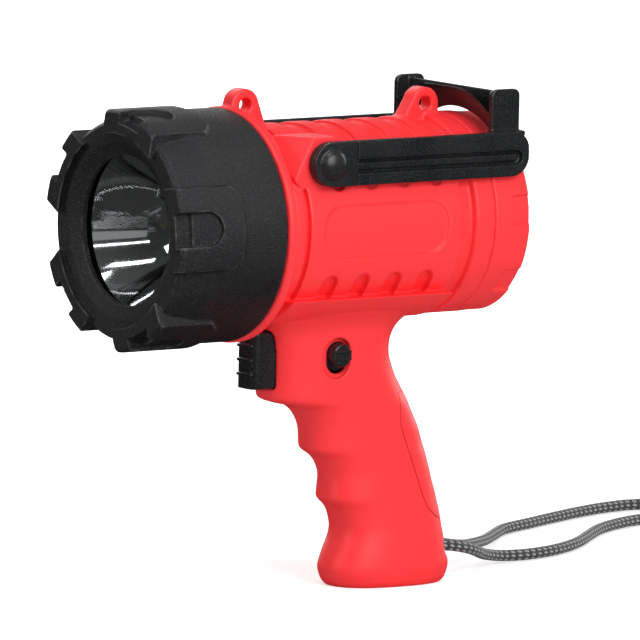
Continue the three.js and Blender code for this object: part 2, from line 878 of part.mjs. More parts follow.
const trigger = {
  front: 67.4,
  halfWidth: 7,
  top: -48.4,
  bottom: -74.2,
  length: 24.6,
  corner: 1.6,
  ribCount: 3,
  ribProud: 1.1,
  ribHeight: 1.3,
  travel: 6,
  lip: 1.4,
  lipSetback: 11,
  lipThickness: 2,
  lipInset: 4,
  springUp: -53.5,
  springPocket: 3.3,
  springDepth: 8,
};

const triggerRear = trigger.front + trigger.length;
const lipAlong = triggerRear - trigger.lipSetback;

const lockButton = {
  behindTrigger: 13,
  up: -59.2,
  radius: 5.3,
  proud: 2,
  flangeRadius: 7,
  flangeThickness: 1.6,
  ribWidth: 0.9,
  ribProud: 0.6,
  ribSpacing: 3.4,
  recessWidth: 14,
  recessHeight: 18.4,
  recessDrop: 1.4,          // from the button's middle down to the recess's
  recessLead: 1.2,          // from the button's middle forward to the recess's
  recessDepth: 1.8,
};

const lockAlong = triggerRear + lockButton.behindTrigger;

// Outer side of the grip at the lock button, and the inner side of its wall
const buttonSide = baseLength * smoothShare(gripStationShares, 3, 1 + lockButton.up / axisHeight);
const buttonFace = buttonSide + lockButton.proud;
const flangeOuter = buttonSide - wall - clearance;
const flangeInner = flangeOuter - lockButton.flangeThickness;

// Where the lanyard goes in at the heel: a slot to the rear, with a steel bar across it
const heel = {
  width: 14,
  height: 9,
  rise: 15.5,               // above the base
  slotShare: 0.3,
  pinAlong: 166,
  pinRadius: 2,
  pinHalfLength: 13,
};
const heelUp = heel.rise - axisHeight;

// Tray inside the grip that carries the trigger's switch and stops both springs
const tray = {
  side: -3.5,
  thickness: 2,
  gap: 6,                   // trigger's rear to the tray
  length: 21,
  low: -76,
  high: -50.5,
  corner: 2,
  tabSetback: 2,
  tabThickness: 2,
  tabLow: -57,
  tabHigh: -51,
  tabSide: 4,
  postRadius: 4.2,
  postSide: 5.7,
  screwInset: 3,
  screwUps: [-54, -71.5],
  bossRadius: 2.6,
};
const trayFront = triggerRear + tray.gap;
const trayRear = trayFront + tray.length;
const tabFront = trayFront + tray.tabSetback;
const screwAlong = trayRear - tray.screwInset;
const trayBack = tray.side - tray.thickness;
const frameScrew = { radius: 1.1, headRadius: 2.1, headHeight: 1.3, length: 6 };
// The tray's bosses stand on the inner side of the grip's wall
const screwShare = 1 + tray.screwUps[0] / axisHeight;
const bossStart = wall / 2 - baseLength * smoothShare(gripStationShares, 3, screwShare);
const springs = { wire: 0.7, triggerRadius: 2.4, triggerTurns: 6, lockRadius: 3, lockTurns: 3 };

function makeHousing() {
  const shell = turned([
    [collarInner, collar.front],
    [collar.radius, collar.front],
    [collar.radius, flangeFront],
    [flangeRadius - flangeRound, flangeFront],
    [flangeRadius, flangeFront + flangeRound],
    [flangeRadius, flangeRear - flangeRound],
    [flangeRadius - flangeRound, flangeRear],
    [grooveRadius, flangeRear],
    [grooveRadius, barrelFront],
    [barrelRadius, barrelFront + flangeRound],
    [barrelRadius, panelEnd],
    [neckRadius, panelEnd + flangeRound],
    [neckRadius, ringFront],
    [capRadius - flangeRound, ringFront],
    [capRadius, ringFront + flangeRound],
    [capRadius, ringRear],
    [tailRadius, ringRear],
    [tailRadius, tailEnd],
    [boreRadius, tailEnd],
    [boreRadius, shelfRear],
    [inside.shelfHole, shelfRear],
    [inside.shelfHole, shelfFront],
    [collarInner, shelfFront],
    [collarInner, collar.front],
  ]);
  const bore = disc(boreRadius, shelfRear, tailEnd + overrun);
  const bulkhead = disc(boreRadius + wall / 2, inside.bulkheadFront, bulkheadRear)
    .subtract(longBar(inside.wireHole, inside.bulkheadFront - overrun, bulkheadRear + overrun,
      0, wireHoleUp));
  const hingeBoss = makeBoss();
  const foot = barrelRadius - wall / 2;
  const frontEyelet = eyeletBody(eyelet.frontAlong, frontEyeletUp, pivotAlong - wall, 1, foot);
  const rearEyelet = eyeletBody(eyelet.rearAlong, rearEyeletUp, panelEnd - neckWidth, -1, foot);
  const barrel = cut(joined([shell, makePanels(), hingeBoss, mirrored(hingeBoss)]),
    makeGrooves(), makePanelRecess());
  const headRoom = disc(flangeRadius + overrun, collar.front - overrun, flangeFront);
  const outside = joined([barrel, gripOuter.subtract(headRoom), frontEyelet, rearEyelet])
    .subtract(bore)
    .add(bulkhead);

  const duct = upright(circle(inside.wireHole, 0, ductAlong), gripCavityTop - overrun, overrun - boreRadius);
  const triggerSlot = lengthways(
    roundedRect((trigger.halfWidth + clearance) * 2, trigger.top - trigger.bottom + clearance * 2,
      trigger.corner, 0, (trigger.top + trigger.bottom) / 2),
    trigger.front - overrun,
    triggerRear,
  );
  const lipReach = trigger.halfWidth + trigger.lip + clearance;
  const lipSeat = lengthways(rectangle(-lipReach, lipReach, trigger.bottom, trigger.top),
    lipAlong - clearance, triggerRear);
  const buttonHole = sideways(circle(lockButton.radius + clearance, lockAlong, lockButton.up),
    0, buttonFace);
  const flangeSeat = sideways(
    circle(lockButton.flangeRadius + clearance, lockAlong, lockButton.up),
    0,
    flangeOuter + clearance,
  );
  const buttonRecess = sideways(
    slot(lockButton.recessWidth, lockButton.recessHeight, lockAlong - lockButton.recessLead,
      lockButton.up - lockButton.recessDrop),
    buttonSide - lockButton.recessDepth,
    buttonFace + overrun,
  );
  const strandSlot = lengthways(slot(heel.width, heel.height, 0, heelUp),
    alongAt(heel.slotShare), alongAt(1));
  const barReach = heel.pinHalfLength + clearance;
  const barHole = crossBar(heel.pinRadius + clearance, -barReach, barReach, heel.pinAlong, heelUp);
  const pinHole = crossBar(boss.pinRadius + clearance, bossFace - boss.pinDepth, armOuter,
    pivotAlong, pivotHeight);
  const sealCut = ring(collar.radius - sealGroove, collar.radius + overrun,
    frontSealAlong - sealGroove / 2, frontSealAlong + sealGroove / 2);
  const gripCuts = [gripCavity, duct, triggerSlot, lipSeat, buttonHole, flangeSeat, buttonRecess];
  const heelCuts = [strandSlot, barHole, strapTool(clearance)];
  const eyeletCuts = [
    eyeletHole(eyelet.frontAlong, frontEyeletUp),
    eyeletHole(eyelet.rearAlong, rearEyeletUp),
  ];
  const body = cut(outside, ...gripCuts, ...heelCuts, ...eyeletCuts, pinHole, mirrored(pinHole), sealCut);
  const bosses = tray.screwUps.map((up) => (
    crossBar(tray.bossRadius, bossStart, trayBack - clearance, screwAlong, up)
      .subtract(crossBar(frameScrew.radius + clearance, trayBack - frameScrew.length, trayBack,
        screwAlong, up))
  ));
  return joined([body, ...bosses]);
}

addPiece('main_housing', makeHousing(), red);
addPiece('grip_backstrap', cut(gripOuter.intersect(strapTool(0)), gripCavity), red);

// Front of the lamp

addPiece('head_bezel', makeBezel(), blackRubber);
addPiece('lens_gasket', makeGasket(), sealRubber);
addPiece('lens', makeLens(), clearPlastic);
addPiece('reflector', makeReflector(), chrome);
addPiece('led_emitter', makeEmitter(), ledYellow);
addPiece('led_board', makeBoard(), boardGreen);
addPiece('heat_sink', makeHeatSink(), alloy);
around(boardScrew.count, screwCircle).forEach((place, i) => {
  addPiece(`board_screw_${i + 1}`, makeBoardScrew(place), steel);
});
addPiece('head_seal', makeSeal((collar.radius - sealGroove + bezelRadius - bezelWall) / 2, frontSealAlong),
  sealRubber);

// Battery compartment, from the bulkhead back to the cap

const contacts = {
  boardThickness: 1.6,
  plateRadius: 20,
  plateThickness: 1,
  springRadius: 8,
  springWire: 1,
  springTurns: 1.75,
};
const carrier = { plateThickness: 2, postRadius: 5.5 };
const cell = { nubRadius: 4.7, nubLength: 1.5, edge: 0.8, gap: 0.4 };
const cellSpacing = cellRadius + cell.gap;
const boardFace = bulkheadRear + clearance;
const carrierFront = boardFace + contacts.boardThickness + clearance;
const cellFront = carrierFront + carrier.plateThickness + clearance;
const cellRear = cellFront + cellLength;
const carrierRear = cellRear + clearance + carrier.plateThickness;
const plateAlong = capFace - clearance - contacts.plateThickness;
const carrierRadius = boreRadius - clearance;

// One cell, with its raised contact toward the front or, turned round, toward the rear.
function makeCell(x, z, turnedRound) {
  const body = cellLength - cell.nubLength;
  const profile = [
    [0, 0],
    [cell.nubRadius, 0],
    [cell.nubRadius, cell.nubLength],
    [cellRadius - cell.edge, cell.nubLength],
    [cellRadius, cell.nubLength + cell.edge],
    [cellRadius, cell.nubLength + body - cell.edge],
    [cellRadius - cell.edge, cellLength],
    [0, cellLength],
  ];
  const placed = profile.map(([radius, along]) => (
    [radius, turnedRound ? cellRear - along : cellFront + along]
  ));
  return turned(turnedRound ? placed.reverse() : placed, smallSteps).translate([x, 0, z]);
}

function makeCarrier() {
  const middle = disc(carrier.postRadius, carrierFront, carrierRear, smallSteps);
  return joined([
    middle,
    disc(carrierRadius, carrierFront, cellFront - clearance, fineSteps),
    disc(carrierRadius, cellRear + clearance, carrierRear, fineSteps),
  ]);
}

addPiece('front_contact_board', disc(carrierRadius, boardFace, boardFace + contacts.boardThickness,
  fineSteps), boardGreen);
addPiece('battery_carrier', makeCarrier(), greyPlastic);
[[-1, -1], [1, -1], [1, 1], [-1, 1]].forEach(([across, up], i) => {
  const solid = makeCell(across * cellSpacing, up * cellSpacing, i % 2 === 1);
  addPiece(`battery_cell_${i + 1}`, solid, cellCoat);
});
addPiece('contact_spring', spring({
  from: new THREE.Vector3(0, carrierRear + clearance, 0),
  to: new THREE.Vector3(0, plateAlong - clearance, 0),
  radius: contacts.springRadius,
  turns: contacts.springTurns,
  wire: contacts.springWire,
  across: unitX,
}), brass);
addPiece('cap_contact_plate', disc(contacts.plateRadius, plateAlong, plateAlong + contacts.plateThickness,
  fineSteps), brass);
addPiece('cap_seal', makeCapSeal(), sealRubber);
addPiece('rear_cap', makeCap(), red);

// Folding stand: two arms on the hinge bosses, joined behind by a cross piece over the cap

const stand = {
  lowCorner: 9,
  topCorner: 8,
  sink: 1,
  pinHead: 5,
  pinHeadDepth: 1.2,
  capRear: boss.rear,
  capProud: 0.9,
  domeRadius: 7.6,
  domeHeight: 3,
  channelHeight: 6.6,
  channelDrop: 0.9,
  channelEnd: 184.2,
  channelDepth: 1.6,
  barHeight: 4,
  barDrop: 0.5,
  plateFront: 172.5,
  plateRear: 187.8,
  plateStep: 6.2,           // arm's inner face to the plate's
  plateThickness: 2.5,
  plateRise: 13.1,          // top of the cap to the plate's top
  plateCorner: 3,
  webThickness: 2.4,
  crossFront: 179.3,
  crossThickness: 2.5,
  archGap: 2.1,
  lipRise: 12.3,
  lipWall: 1.6,
};
const plateInner = armInner - stand.plateStep;
const plateTop = capRadius + stand.plateRise;
const lipRadius = capRadius + stand.lipRise;
const armTop = pivotHeight + armHalfHeight;
const armLow = pivotHeight - armHalfHeight;
const archRadius = capRadius + stand.archGap;
const quarterTurn = fullTurn / 4;

// Side view of an arm: round at the pivot, and cut with two unlike corners at the rear.
function armOutline() {
  const { lowCorner, topCorner } = stand;
  const shape = new THREE.Shape();
  shape.absarc(pivotAlong, pivotHeight, armHalfHeight, quarterTurn, 2 * quarterTurn);
  shape.absarc(pivotAlong, pivotHeight, armHalfHeight, 2 * quarterTurn, 3 * quarterTurn);
  shape.absarc(armEnd - lowCorner, armLow + lowCorner, lowCorner, 3 * quarterTurn, 4 * quarterTurn);
  shape.absarc(armEnd - topCorner, armTop - topCorner, topCorner, 0, quarterTurn);
  shape.closePath();
  return shape;
}

// Side view of a hinge cap: the arm's round end, closed by a straight edge behind.
function capOutline() {
  const shape = new THREE.Shape();
  shape.absarc(pivotAlong, pivotHeight, armHalfHeight, quarterTurn, 2 * quarterTurn);
  shape.absarc(pivotAlong, pivotHeight, armHalfHeight, 2 * quarterTurn, 3 * quarterTurn);
  shape.lineTo(stand.capRear, armLow);
  shape.lineTo(stand.capRear, armTop);
  shape.closePath();
  return shape;
}

// A rectangle whose two upper corners are round.
function uprightPlate(start, end, low, high, corner) {
  const shape = new THREE.Shape();
  shape.moveTo(start, low);
  shape.lineTo(end, low);
  shape.absarc(end - corner, high - corner, corner, 0, quarterTurn);
  shape.absarc(start + corner, high - corner, corner, quarterTurn, 2 * quarterTurn);
  shape.closePath();
  return shape;
}

function makeArm() {
  const capSeat = armOuter - stand.sink;
  const channelStart = stand.capRear - stand.channelHeight;
  const channelUp = pivotHeight - stand.channelDrop;
  const channel = (height, end, up) => slot(end - channelStart, height, (end + channelStart) / 2, up);
  const barEnd = stand.channelEnd - (stand.channelHeight - stand.barHeight) / 2;
  const groove = sideways(channel(stand.channelHeight, stand.channelEnd, channelUp),
    armOuter - stand.channelDepth, armOuter + overrun)
    .subtract(sideways(channel(stand.barHeight, barEnd, channelUp + stand.barDrop),
      armInner, armOuter + wall));
  const seatShape = rectangle(pivotAlong - baseLength, stand.capRear + clearance, -axisHeight, axisHeight);
  const seat = sideways(seatShape, capSeat, armOuter + overrun);
  const bearing = crossBar(boss.pinRadius + clearance, armInner - overrun, armOuter,
    pivotAlong, pivotHeight);
  const headSeat = crossBar(stand.pinHead + clearance, capSeat - stand.pinHeadDepth - clearance, armOuter,
    pivotAlong, pivotHeight);
  return cut(sideways(armOutline(), armInner, armOuter), groove, seat, bearing, headSeat);
}

function makeStand() {
  const { plateFront, plateRear, crossFront } = stand;
  const plateOuter = plateInner + stand.plateThickness;
  const webLow = armTop - stand.webThickness;
  const webShape = rectangle(plateInner, armInner + stand.sink, webLow, armTop);
  const web = lengthways(webShape, plateFront, plateRear);
  const plate = sideways(uprightPlate(plateFront, plateRear, webLow, plateTop, stand.plateCorner),
    plateInner, plateOuter);
  const side = joined([makeArm(), web, plate]);
  const between = plateInner + stand.plateThickness / 2;
  const crossTop = plateTop - stand.plateCorner / 2;
  const crossRear = crossFront + stand.crossThickness;
  const space = lengthways(rectangle(-between, between, webLow, crossTop), plateFront, crossRear);
  const slab = ring(archRadius, axisHeight, crossFront, crossRear);
  const flare = turned([
    [archRadius, crossRear],
    [archRadius, crossFront],
    [lipRadius, plateFront],
    [lipRadius + stand.lipWall, plateFront],
    [archRadius + stand.lipWall, crossRear],
    [archRadius, crossRear],
  ]);
  return joined([side, mirrored(side), slab.add(flare).intersect(space)]);
}

function makeHingeCap() {
  const seat = armOuter - stand.sink + clearance;
  const face = armOuter + stand.capProud;
  const root = face - stand.capProud / 2;
  const dome = turned(domeProfile(stand.domeRadius, stand.domeHeight, face, 1, root), fineSteps)
    .rotate([0, 0, -90])
    .translate([0, pivotAlong, pivotHeight]);
  return sideways(capOutline(), seat, face).add(dome);
}

function makePivotPin() {
  const headFace = armOuter - stand.sink;
  const start = bossFace - boss.pinDepth + clearance;
  return joined([
    crossBar(boss.pinRadius, start, headFace - stand.pinHeadDepth / 2, pivotAlong, pivotHeight),
    crossBar(stand.pinHead, headFace - stand.pinHeadDepth, headFace, pivotAlong, pivotHeight),
  ]);
}

addPiece('stand_frame', makeStand(), blackPlastic);
[['left', (solid) => solid], ['right', mirrored]].forEach(([side, placed]) => {
  addPiece(`hinge_cap_${side}`, placed(makeHingeCap()), blackPlastic);
  addPiece(`pivot_pin_${side}`, placed(makePivotPin()), steel);
});

// Trigger, its lock and the switch inside the grip

function makeTrigger() {
  const { front, halfWidth, top, bottom, corner, ribHeight, ribCount, ribProud } = trigger;
  const rear = triggerRear;
  const section = roundedRect(halfWidth * 2, top - bottom, corner, 0, (top + bottom) / 2);
  const plan = roundedRect(halfWidth * 2, rear - front, corner * 2, 0, (front + rear) / 2);
  const body = lengthways(section, front, rear).intersect(upright(plan, bottom, top));
  const pitch = (top - bottom) / (ribCount + 1);
  const ribDepth = ribProud + corner * 2;
  const ribs = Array.from({ length: ribCount }, (_, i) => {
    const middle = bottom + pitch * (i + 1);
    const outline = roundedRect((halfWidth - corner) * 2, ribDepth * 2, corner / 2,
      0, front - ribProud + ribDepth);
    return upright(outline, middle - ribHeight / 2, middle + ribHeight / 2);
  });
  const reach = halfWidth + trigger.lip;
  const lips = lengthways(
    rectangle(-reach, reach, bottom + trigger.lipInset, top - trigger.lipInset),
    lipAlong,
    lipAlong + trigger.lipThickness,
  );
  const pocket = longBar(trigger.springPocket, rear - trigger.springDepth, rear + overrun,
    0, trigger.springUp);
  return joined([body, ...ribs, lips]).subtract(pocket);
}

function makeLockButton() {
  const { up, radius, ribWidth, ribProud, ribSpacing } = lockButton;
  const along = lockAlong;
  const ribs = [-1, 1].map((side) => {
    const height = up + side * ribSpacing / 2;
    const half = ribWidth / 2;
    return sideways(rectangle(along - radius, along + radius, height - half, height + half),
      buttonFace - ribProud, buttonFace + ribProud);
  });
  const shaft = crossBar(radius, flangeInner, buttonFace + ribProud, along, up);
  const face = crossBar(radius, flangeInner, buttonFace, along, up);
  const flange = crossBar(lockButton.flangeRadius, flangeInner, flangeOuter, along, up);
  return joined([face, flange, ...ribs.map((rib) => rib.intersect(shaft))]);
}

function makeTray() {
  const { side, low, high, tabThickness } = tray;
  const plate = sideways(roundedRect(tray.length, high - low, tray.corner, (trayFront + trayRear) / 2,
    (high + low) / 2), trayBack, side);
  const tab = lengthways(rectangle(side - tray.thickness / 2, tray.tabSide, tray.tabLow, tray.tabHigh),
    tabFront, tabFront + tabThickness);
  const post = crossBar(tray.postRadius, side - tray.thickness / 2, tray.postSide,
    lockAlong, lockButton.up);
  const holes = tray.screwUps.map((up) => (
    crossBar(frameScrew.radius + clearance, trayBack - overrun, side + overrun, screwAlong, up)
  ));
  return cut(joined([plate, tab, post]), ...holes);
}

const frameScrewSolid = (up) => joined([
  crossBar(frameScrew.headRadius, tray.side + clearance, tray.side + clearance + frameScrew.headHeight,
    screwAlong, up),
  crossBar(frameScrew.radius, trayBack - frameScrew.length + clearance, tray.side + clearance * 2,
    screwAlong, up),
]);

const triggerSwitch = {
  halfWidth: 3.2,
  low: -75,
  high: -65,
  gap: 0.6,                 // tray's tab to the switch
  length: 12.4,
  plungerRadius: 1.6,
  corner: 0.8,
};

const switchFront = tabFront + triggerSwitch.gap;
const switchRear = switchFront + triggerSwitch.length;

function makeSwitch() {
  const { halfWidth, low, high } = triggerSwitch;
  const middle = (low + high) / 2;
  const outline = roundedRect(halfWidth * 2, high - low, triggerSwitch.corner, 0, middle);
  const box = lengthways(outline, switchFront, switchRear);
  const plungerTip = triggerRear + trigger.travel + clearance;
  const plunger = longBar(triggerSwitch.plungerRadius, plungerTip, switchFront + overrun, 0, middle);
  return box.add(plunger);
}

addPiece('trigger', makeTrigger(), blackPlastic);
addPiece('trigger_spring', spring({
  from: new THREE.Vector3(0, triggerRear - trigger.springDepth + clearance, trigger.springUp),
  to: new THREE.Vector3(0, tabFront - clearance, trigger.springUp),
  radius: springs.triggerRadius,
  turns: springs.triggerTurns,
  wire: springs.wire,
  across: unitX,
}), steel);
addPiece('trigger_switch', makeSwitch(), greyPlastic);
addPiece('switch_frame', makeTray(), greyPlastic);
tray.screwUps.forEach((up, i) => {
  addPiece(`frame_screw_${i + 1}`, frameScrewSolid(up), steel);
});
addPiece('lock_button', makeLockButton(), blackPlastic);
addPiece('lock_spring', spring({
  from: new THREE.Vector3(tray.postSide + clearance, lockAlong, lockButton.up),
  to: new THREE.Vector3(flangeInner - clearance, lockAlong, lockButton.up),
  radius: springs.lockRadius,
  turns: springs.lockTurns,
  wire: springs.wire,
  across: unitZ,
}), steel);

// Wires from the contact board to the lamp and down to the switch

const wires = {
  diameter: 1.6,
  sides: 6,
  steps: 14,
  offset: 1.6,
  finReachShare: 0.3,       // how high the lamp's wire ends, in the fins' span
  finGapShare: 0.5,         // it runs half a pitch to the side, between two fins
  slackShare: 0.24,
  switchSide: 2,
};

const route = (points) => new THREE.CatmullRomCurve3(points.map((place) => new THREE.Vector3(...place)));
const wireSolid = (points) => wireAlong(route(points), wires.diameter, wires.steps, wires.sides);

function makeLampWire() {
  const up = wireHoleUp;
  const x = -finPitch * wires.finGapShare;
  const finReach = finSpan * wires.finReachShare;
  const end = plateRear + clearance;
  const slack = (inside.bulkheadFront - plateRear) * wires.slackShare;
  return wireSolid([
    [-wires.offset, boardFace - clearance, up],
    [-wires.offset, inside.bulkheadFront - overrun, up],
    [-wires.offset, inside.bulkheadFront - slack, up],
    [x, plateRear + sink.finDepth + slack, (finReach + up) / 2],
    [x, plateRear + sink.finDepth, finReach + overrun],
    [x, end + overrun * 2, finReach],
    [x, end, finReach],
  ]);
}

function makeSwitchWire() {
  const low = (triggerSwitch.low + triggerSwitch.high) / 2;
  const start = switchRear + clearance;
  const bend = tray.corner * 2;
  return wireSolid([
    [wires.switchSide, start, low],
    [wires.switchSide, start + overrun, low],
    [wires.switchSide, start + bend, low + bend * 2],
    [wires.switchSide, lockAlong + tray.postRadius * 2, tray.tabLow],
    [0, ductAlong, gripCavityTop - overrun / 2],
    [0, ductAlong, overrun - boreRadius],
    [0, ductAlong, 0],
    [wires.offset / 2, ductAlong, wireHoleUp - bend * 2],
    [wires.offset, inside.bulkheadFront - overrun, wireHoleUp],
    [wires.offset, boardFace - clearance, wireHoleUp],
  ]);
}

addPiece('wire_lamp', makeLampWire(), wireRed);
addPiece('wire_switch', makeSwitchWire(), wireRed);

// Lanyard: a loop of round cord that lies on the table behind the heel, round a steel bar

const lanyard = { diameter: 5.6, sides: 8, steps: 48 };
const lanyardRoute = [
  // across, along and height above the base
  [-3.2, 168.3, 15.5],
  [-3.2, 178, 15],
  [-7.5, 190, 13],
  [-14, 199.5, 11.4],
  [-28, 214.5, 9.2],
  [-46, 232, 6.6],
  [-66, 251.5, 4.2],
  [-86, 271.5, 3],
  [-97.5, 285, 2.9],
  [-109, 309, 2.9],
  [-121.5, 335.5, 2.9],
  [-129, 353, 2.9],
  [-135, 371, 2.9],
  [-137.5, 389, 2.9],
  [-131, 403.5, 2.9],
  [-117, 406, 2.9],
  [-105.5, 395, 2.9],
  [-98, 373, 2.9],
  [-91, 350, 2.9],
  [-79, 327.5, 2.9],
  [-64, 309.5, 2.9],
  [-49, 292.5, 2.9],
  [-37, 275.5, 2.9],
  [-29, 258.5, 2.9],
  [-25.5, 243, 2.9],
  [-24.5, 229.5, 3.4],
  [-19, 217, 5.4],
  [-11.5, 207.5, 7.8],
  [-4, 199.5, 10.2],
  [1.5, 189.5, 13],
  [3.2, 178, 15],
  [3.2, 168.3, 15.5],
];

addPiece('lanyard_pin', crossBar(heel.pinRadius, -heel.pinHalfLength, heel.pinHalfLength,
  heel.pinAlong, heelUp), steel);
const lanyardPlaces = lanyardRoute.map(([across, along, height]) => [across, along, height - axisHeight]);
addPiece('lanyard_cord', wireAlong(route(lanyardPlaces), lanyard.diameter, lanyard.steps, lanyard.sides),
  cordGrey);

export default searchlight;
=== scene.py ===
import math

import bmesh
import bpy
import numpy as np
from mathutils import Matrix, Vector


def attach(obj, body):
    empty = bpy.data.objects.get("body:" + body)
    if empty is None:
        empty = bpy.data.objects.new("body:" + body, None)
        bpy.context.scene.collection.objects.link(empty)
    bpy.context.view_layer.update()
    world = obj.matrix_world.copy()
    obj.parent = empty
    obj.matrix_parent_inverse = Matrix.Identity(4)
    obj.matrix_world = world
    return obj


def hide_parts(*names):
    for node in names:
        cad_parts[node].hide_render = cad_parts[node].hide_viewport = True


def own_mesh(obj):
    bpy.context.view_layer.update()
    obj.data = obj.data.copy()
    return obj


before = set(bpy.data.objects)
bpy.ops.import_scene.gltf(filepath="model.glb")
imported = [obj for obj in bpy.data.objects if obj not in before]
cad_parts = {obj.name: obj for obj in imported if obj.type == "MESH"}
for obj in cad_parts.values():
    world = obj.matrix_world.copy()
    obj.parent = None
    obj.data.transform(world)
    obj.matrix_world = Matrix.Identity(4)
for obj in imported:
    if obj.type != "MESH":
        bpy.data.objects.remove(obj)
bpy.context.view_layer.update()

scene = bpy.context.scene
scene.view_settings.view_transform = "Standard"

# Pieces are drawn in millimetres from the lamp's axis (x = 0, z = 0) and the plane of its mouth (y = 0).
mm = 0.001
lamp = {"setback": 144.8, "axisHeight": 166, "baseLength": 62}
# how far a cutter runs past what it cuts
past = 2


def inFrame(points):
    return (np.array(points, float) + (0, -lamp["setback"], lamp["axisHeight"])) * mm


def placed(name, data):
    piece = bpy.data.objects.new(name, data)
    scene.collection.objects.link(piece)
    return piece


# Away from the part, at an azimuth and an elevation in degrees.
def outwards(azimuth, elevation):
    turn, tilt = math.radians(azimuth), math.radians(elevation)
    return Vector((math.sin(turn) * math.cos(tilt), -math.cos(turn) * math.cos(tilt), math.sin(tilt)))


# Camera: the photograph's own view, a long lens from the lamp's left front
view = {"right": 86.73, "rise": -37.68, "azimuth": 54.01, "elevation": 6.93, "roll": 1.23,
        "distance": 5731.59, "lens": 731.85, "sensor": 36, "clipEnd": 100}


def placeCamera():
    turn, roll = math.radians(view["azimuth"]), math.radians(view["roll"])
    back = outwards(view["azimuth"], view["elevation"])
    across = Vector((math.cos(turn), math.sin(turn), 0))
    upward = back.cross(across)
    right = across * math.cos(roll) + upward * math.sin(roll)
    up = upward * math.cos(roll) - across * math.sin(roll)
    aim = across * view["right"] + upward * view["rise"]
    data = bpy.data.cameras.new("camera")
    data.lens = view["lens"]
    data.sensor_width = view["sensor"]
    data.clip_end = view["clipEnd"]
    camera = placed("camera", data)
    spot = Matrix((right, up, back)).transposed().to_4x4()
    spot.translation = inFrame(aim + back * view["distance"])
    camera.matrix_world = spot
    scene.camera = camera


placeCamera()


# Mesh making. Only the pieces that stay get names of their own.

def addObject(points, faces):
    mesh = bpy.data.meshes.new("shape")
    mesh.from_pydata(inFrame(points).tolist(), [], faces)
    shell = bmesh.new()
    shell.from_mesh(mesh)
    bmesh.ops.remove_doubles(shell, verts=shell.verts, dist=1e-8)
    bmesh.ops.recalc_face_normals(shell, faces=shell.faces)
    shell.to_mesh(mesh)
    shell.free()
    return placed("shape", mesh)


# Faces between rows of points, each row a closed ring. The last row can meet the first.
def wallFaces(rows, count, meet=False):
    faces = []
    for k in range(rows if meet else rows - 1):
        for i in range(count):
            a, b = k * count + i, k * count + (i + 1) % count
            faces.append((a, b, (b + count) % (rows * count), (a + count) % (rows * count)))
    return faces


# A closed profile of (radius, along) points turned round the lamp's axis, or round the line along X that
# goes through a centre (y, z).
def turned(profile, steps=160, centre=None):
    points = []
    y, z = centre or (0, 0)
    for k in range(steps):
        angle = 2 * math.pi * k / steps
        for radius, along in profile:
            first, second = y + radius * math.cos(angle), z + radius * math.sin(angle)
            points.append((along, first, second) if centre else (first, along, second))
    return addObject(points, wallFaces(steps, len(profile), True))


def ring(inner, outer, start, end):
    return turned([(inner, start), (outer, start), (outer, end), (inner, end)])


def rod(radius, start, end, steps=160, centre=None):
    return turned([(0, start), (radius, start), (radius, end), (0, end)], steps, centre)


# An outline pushed straight: (y, z) points along x, (x, z) points along y, or (x, y) points along z.
def pushed(outline, start, end, axis="x"):
    order = {"x": (2, 0, 1), "y": (0, 2, 1), "z": (0, 1, 2)}[axis]
    count = len(outline)
    points = [tuple((*pair, depth)[i] for i in order) for depth in (start, end) for pair in outline]
    ends = [tuple(range(count)), tuple(range(2 * count - 1, count - 1, -1))]
    return addObject(points, ends + wallFaces(2, count))


def arc(centre, radius, start, end, steps=10):
    angles = [math.radians(start + (end - start) * i / steps) for i in range(steps + 1)]
    return [(centre[0] + radius * math.cos(a), centre[1] + radius * math.sin(a)) for a in angles]


def circle(centre, radius, steps=36):
    return arc(centre, radius, 0, 360 - 360 / steps, steps - 1)


# Half the profile of a dome, from its rim to its top.
def domeLine(radius, height, base, steps):
    angles = np.linspace(0, math.pi / 2, steps)
    return [(radius * math.cos(a), base + height * math.sin(a)) for a in angles]


def roundRect(width, height, radius, middle=(0, 0), steps=10):
    x, y = width / 2 - radius, height / 2 - radius
    corners = [(x, -y, -90), (x, y, 0), (-x, y, 90), (-x, -y, 180)]
    outline = []
    for left, low, start in corners:
        outline += arc((middle[0] + left, middle[1] + low), radius, start, start + 90, steps)
    return outline


def slotShape(width, height, middle=(0, 0)):
    return roundRect(width, height, min(width, height) / 2 - 1e-4, middle)


def box(low, high):
    return [(low[0], low[1]), (high[0], low[1]), (high[0], high[1]), (low[0], high[1])]


# Writes an object's modifiers into its mesh.
def bake(piece):
    graph = bpy.context.evaluated_depsgraph_get()
    mesh = bpy.data.meshes.new_from_object(piece.evaluated_get(graph))
    old = piece.data
    piece.modifiers.clear()
    piece.data = mesh
    bpy.data.meshes.remove(old)
    return piece


def combine(base, join=(), common=(), cut=()):
    tools = []
    for operation, given in (("UNION", join), ("INTERSECT", common), ("DIFFERENCE", cut)):
        for tool in given:
            step = base.modifiers.new(operation, "BOOLEAN")
            step.operation = operation
            step.solver = "MANIFOLD"
            step.object = tool
            tools.append(tool)
    bake(base)
    for tool in tools:
        mesh = tool.data
        bpy.data.objects.remove(tool)
        bpy.data.meshes.remove(mesh)
    return base


def copied(piece, change=Matrix()):
    twin = placed(piece.name, piece.data.copy())
    twin.data.transform(change)
    if change.determinant() < 0:
        twin.data.flip_normals()
    return twin


# A copy turned about the lamp's axis, from +Z towards +X.
def aroundAxis(piece, degrees):
    toAxis = Matrix.Translation((0, 0, lamp["axisHeight"] * mm))
    return copied(piece, toAxis @ Matrix.Rotation(math.radians(degrees), 4, "Y") @ toAxis.inverted())


# Copies of a tool at even steps about the lamp's axis, in place of the tool.
def spread(tool, count, tilt):
    copies = [aroundAxis(tool, 90 - 360 * i / count - tilt) for i in range(count)]
    bpy.data.objects.remove(tool)
    return copies


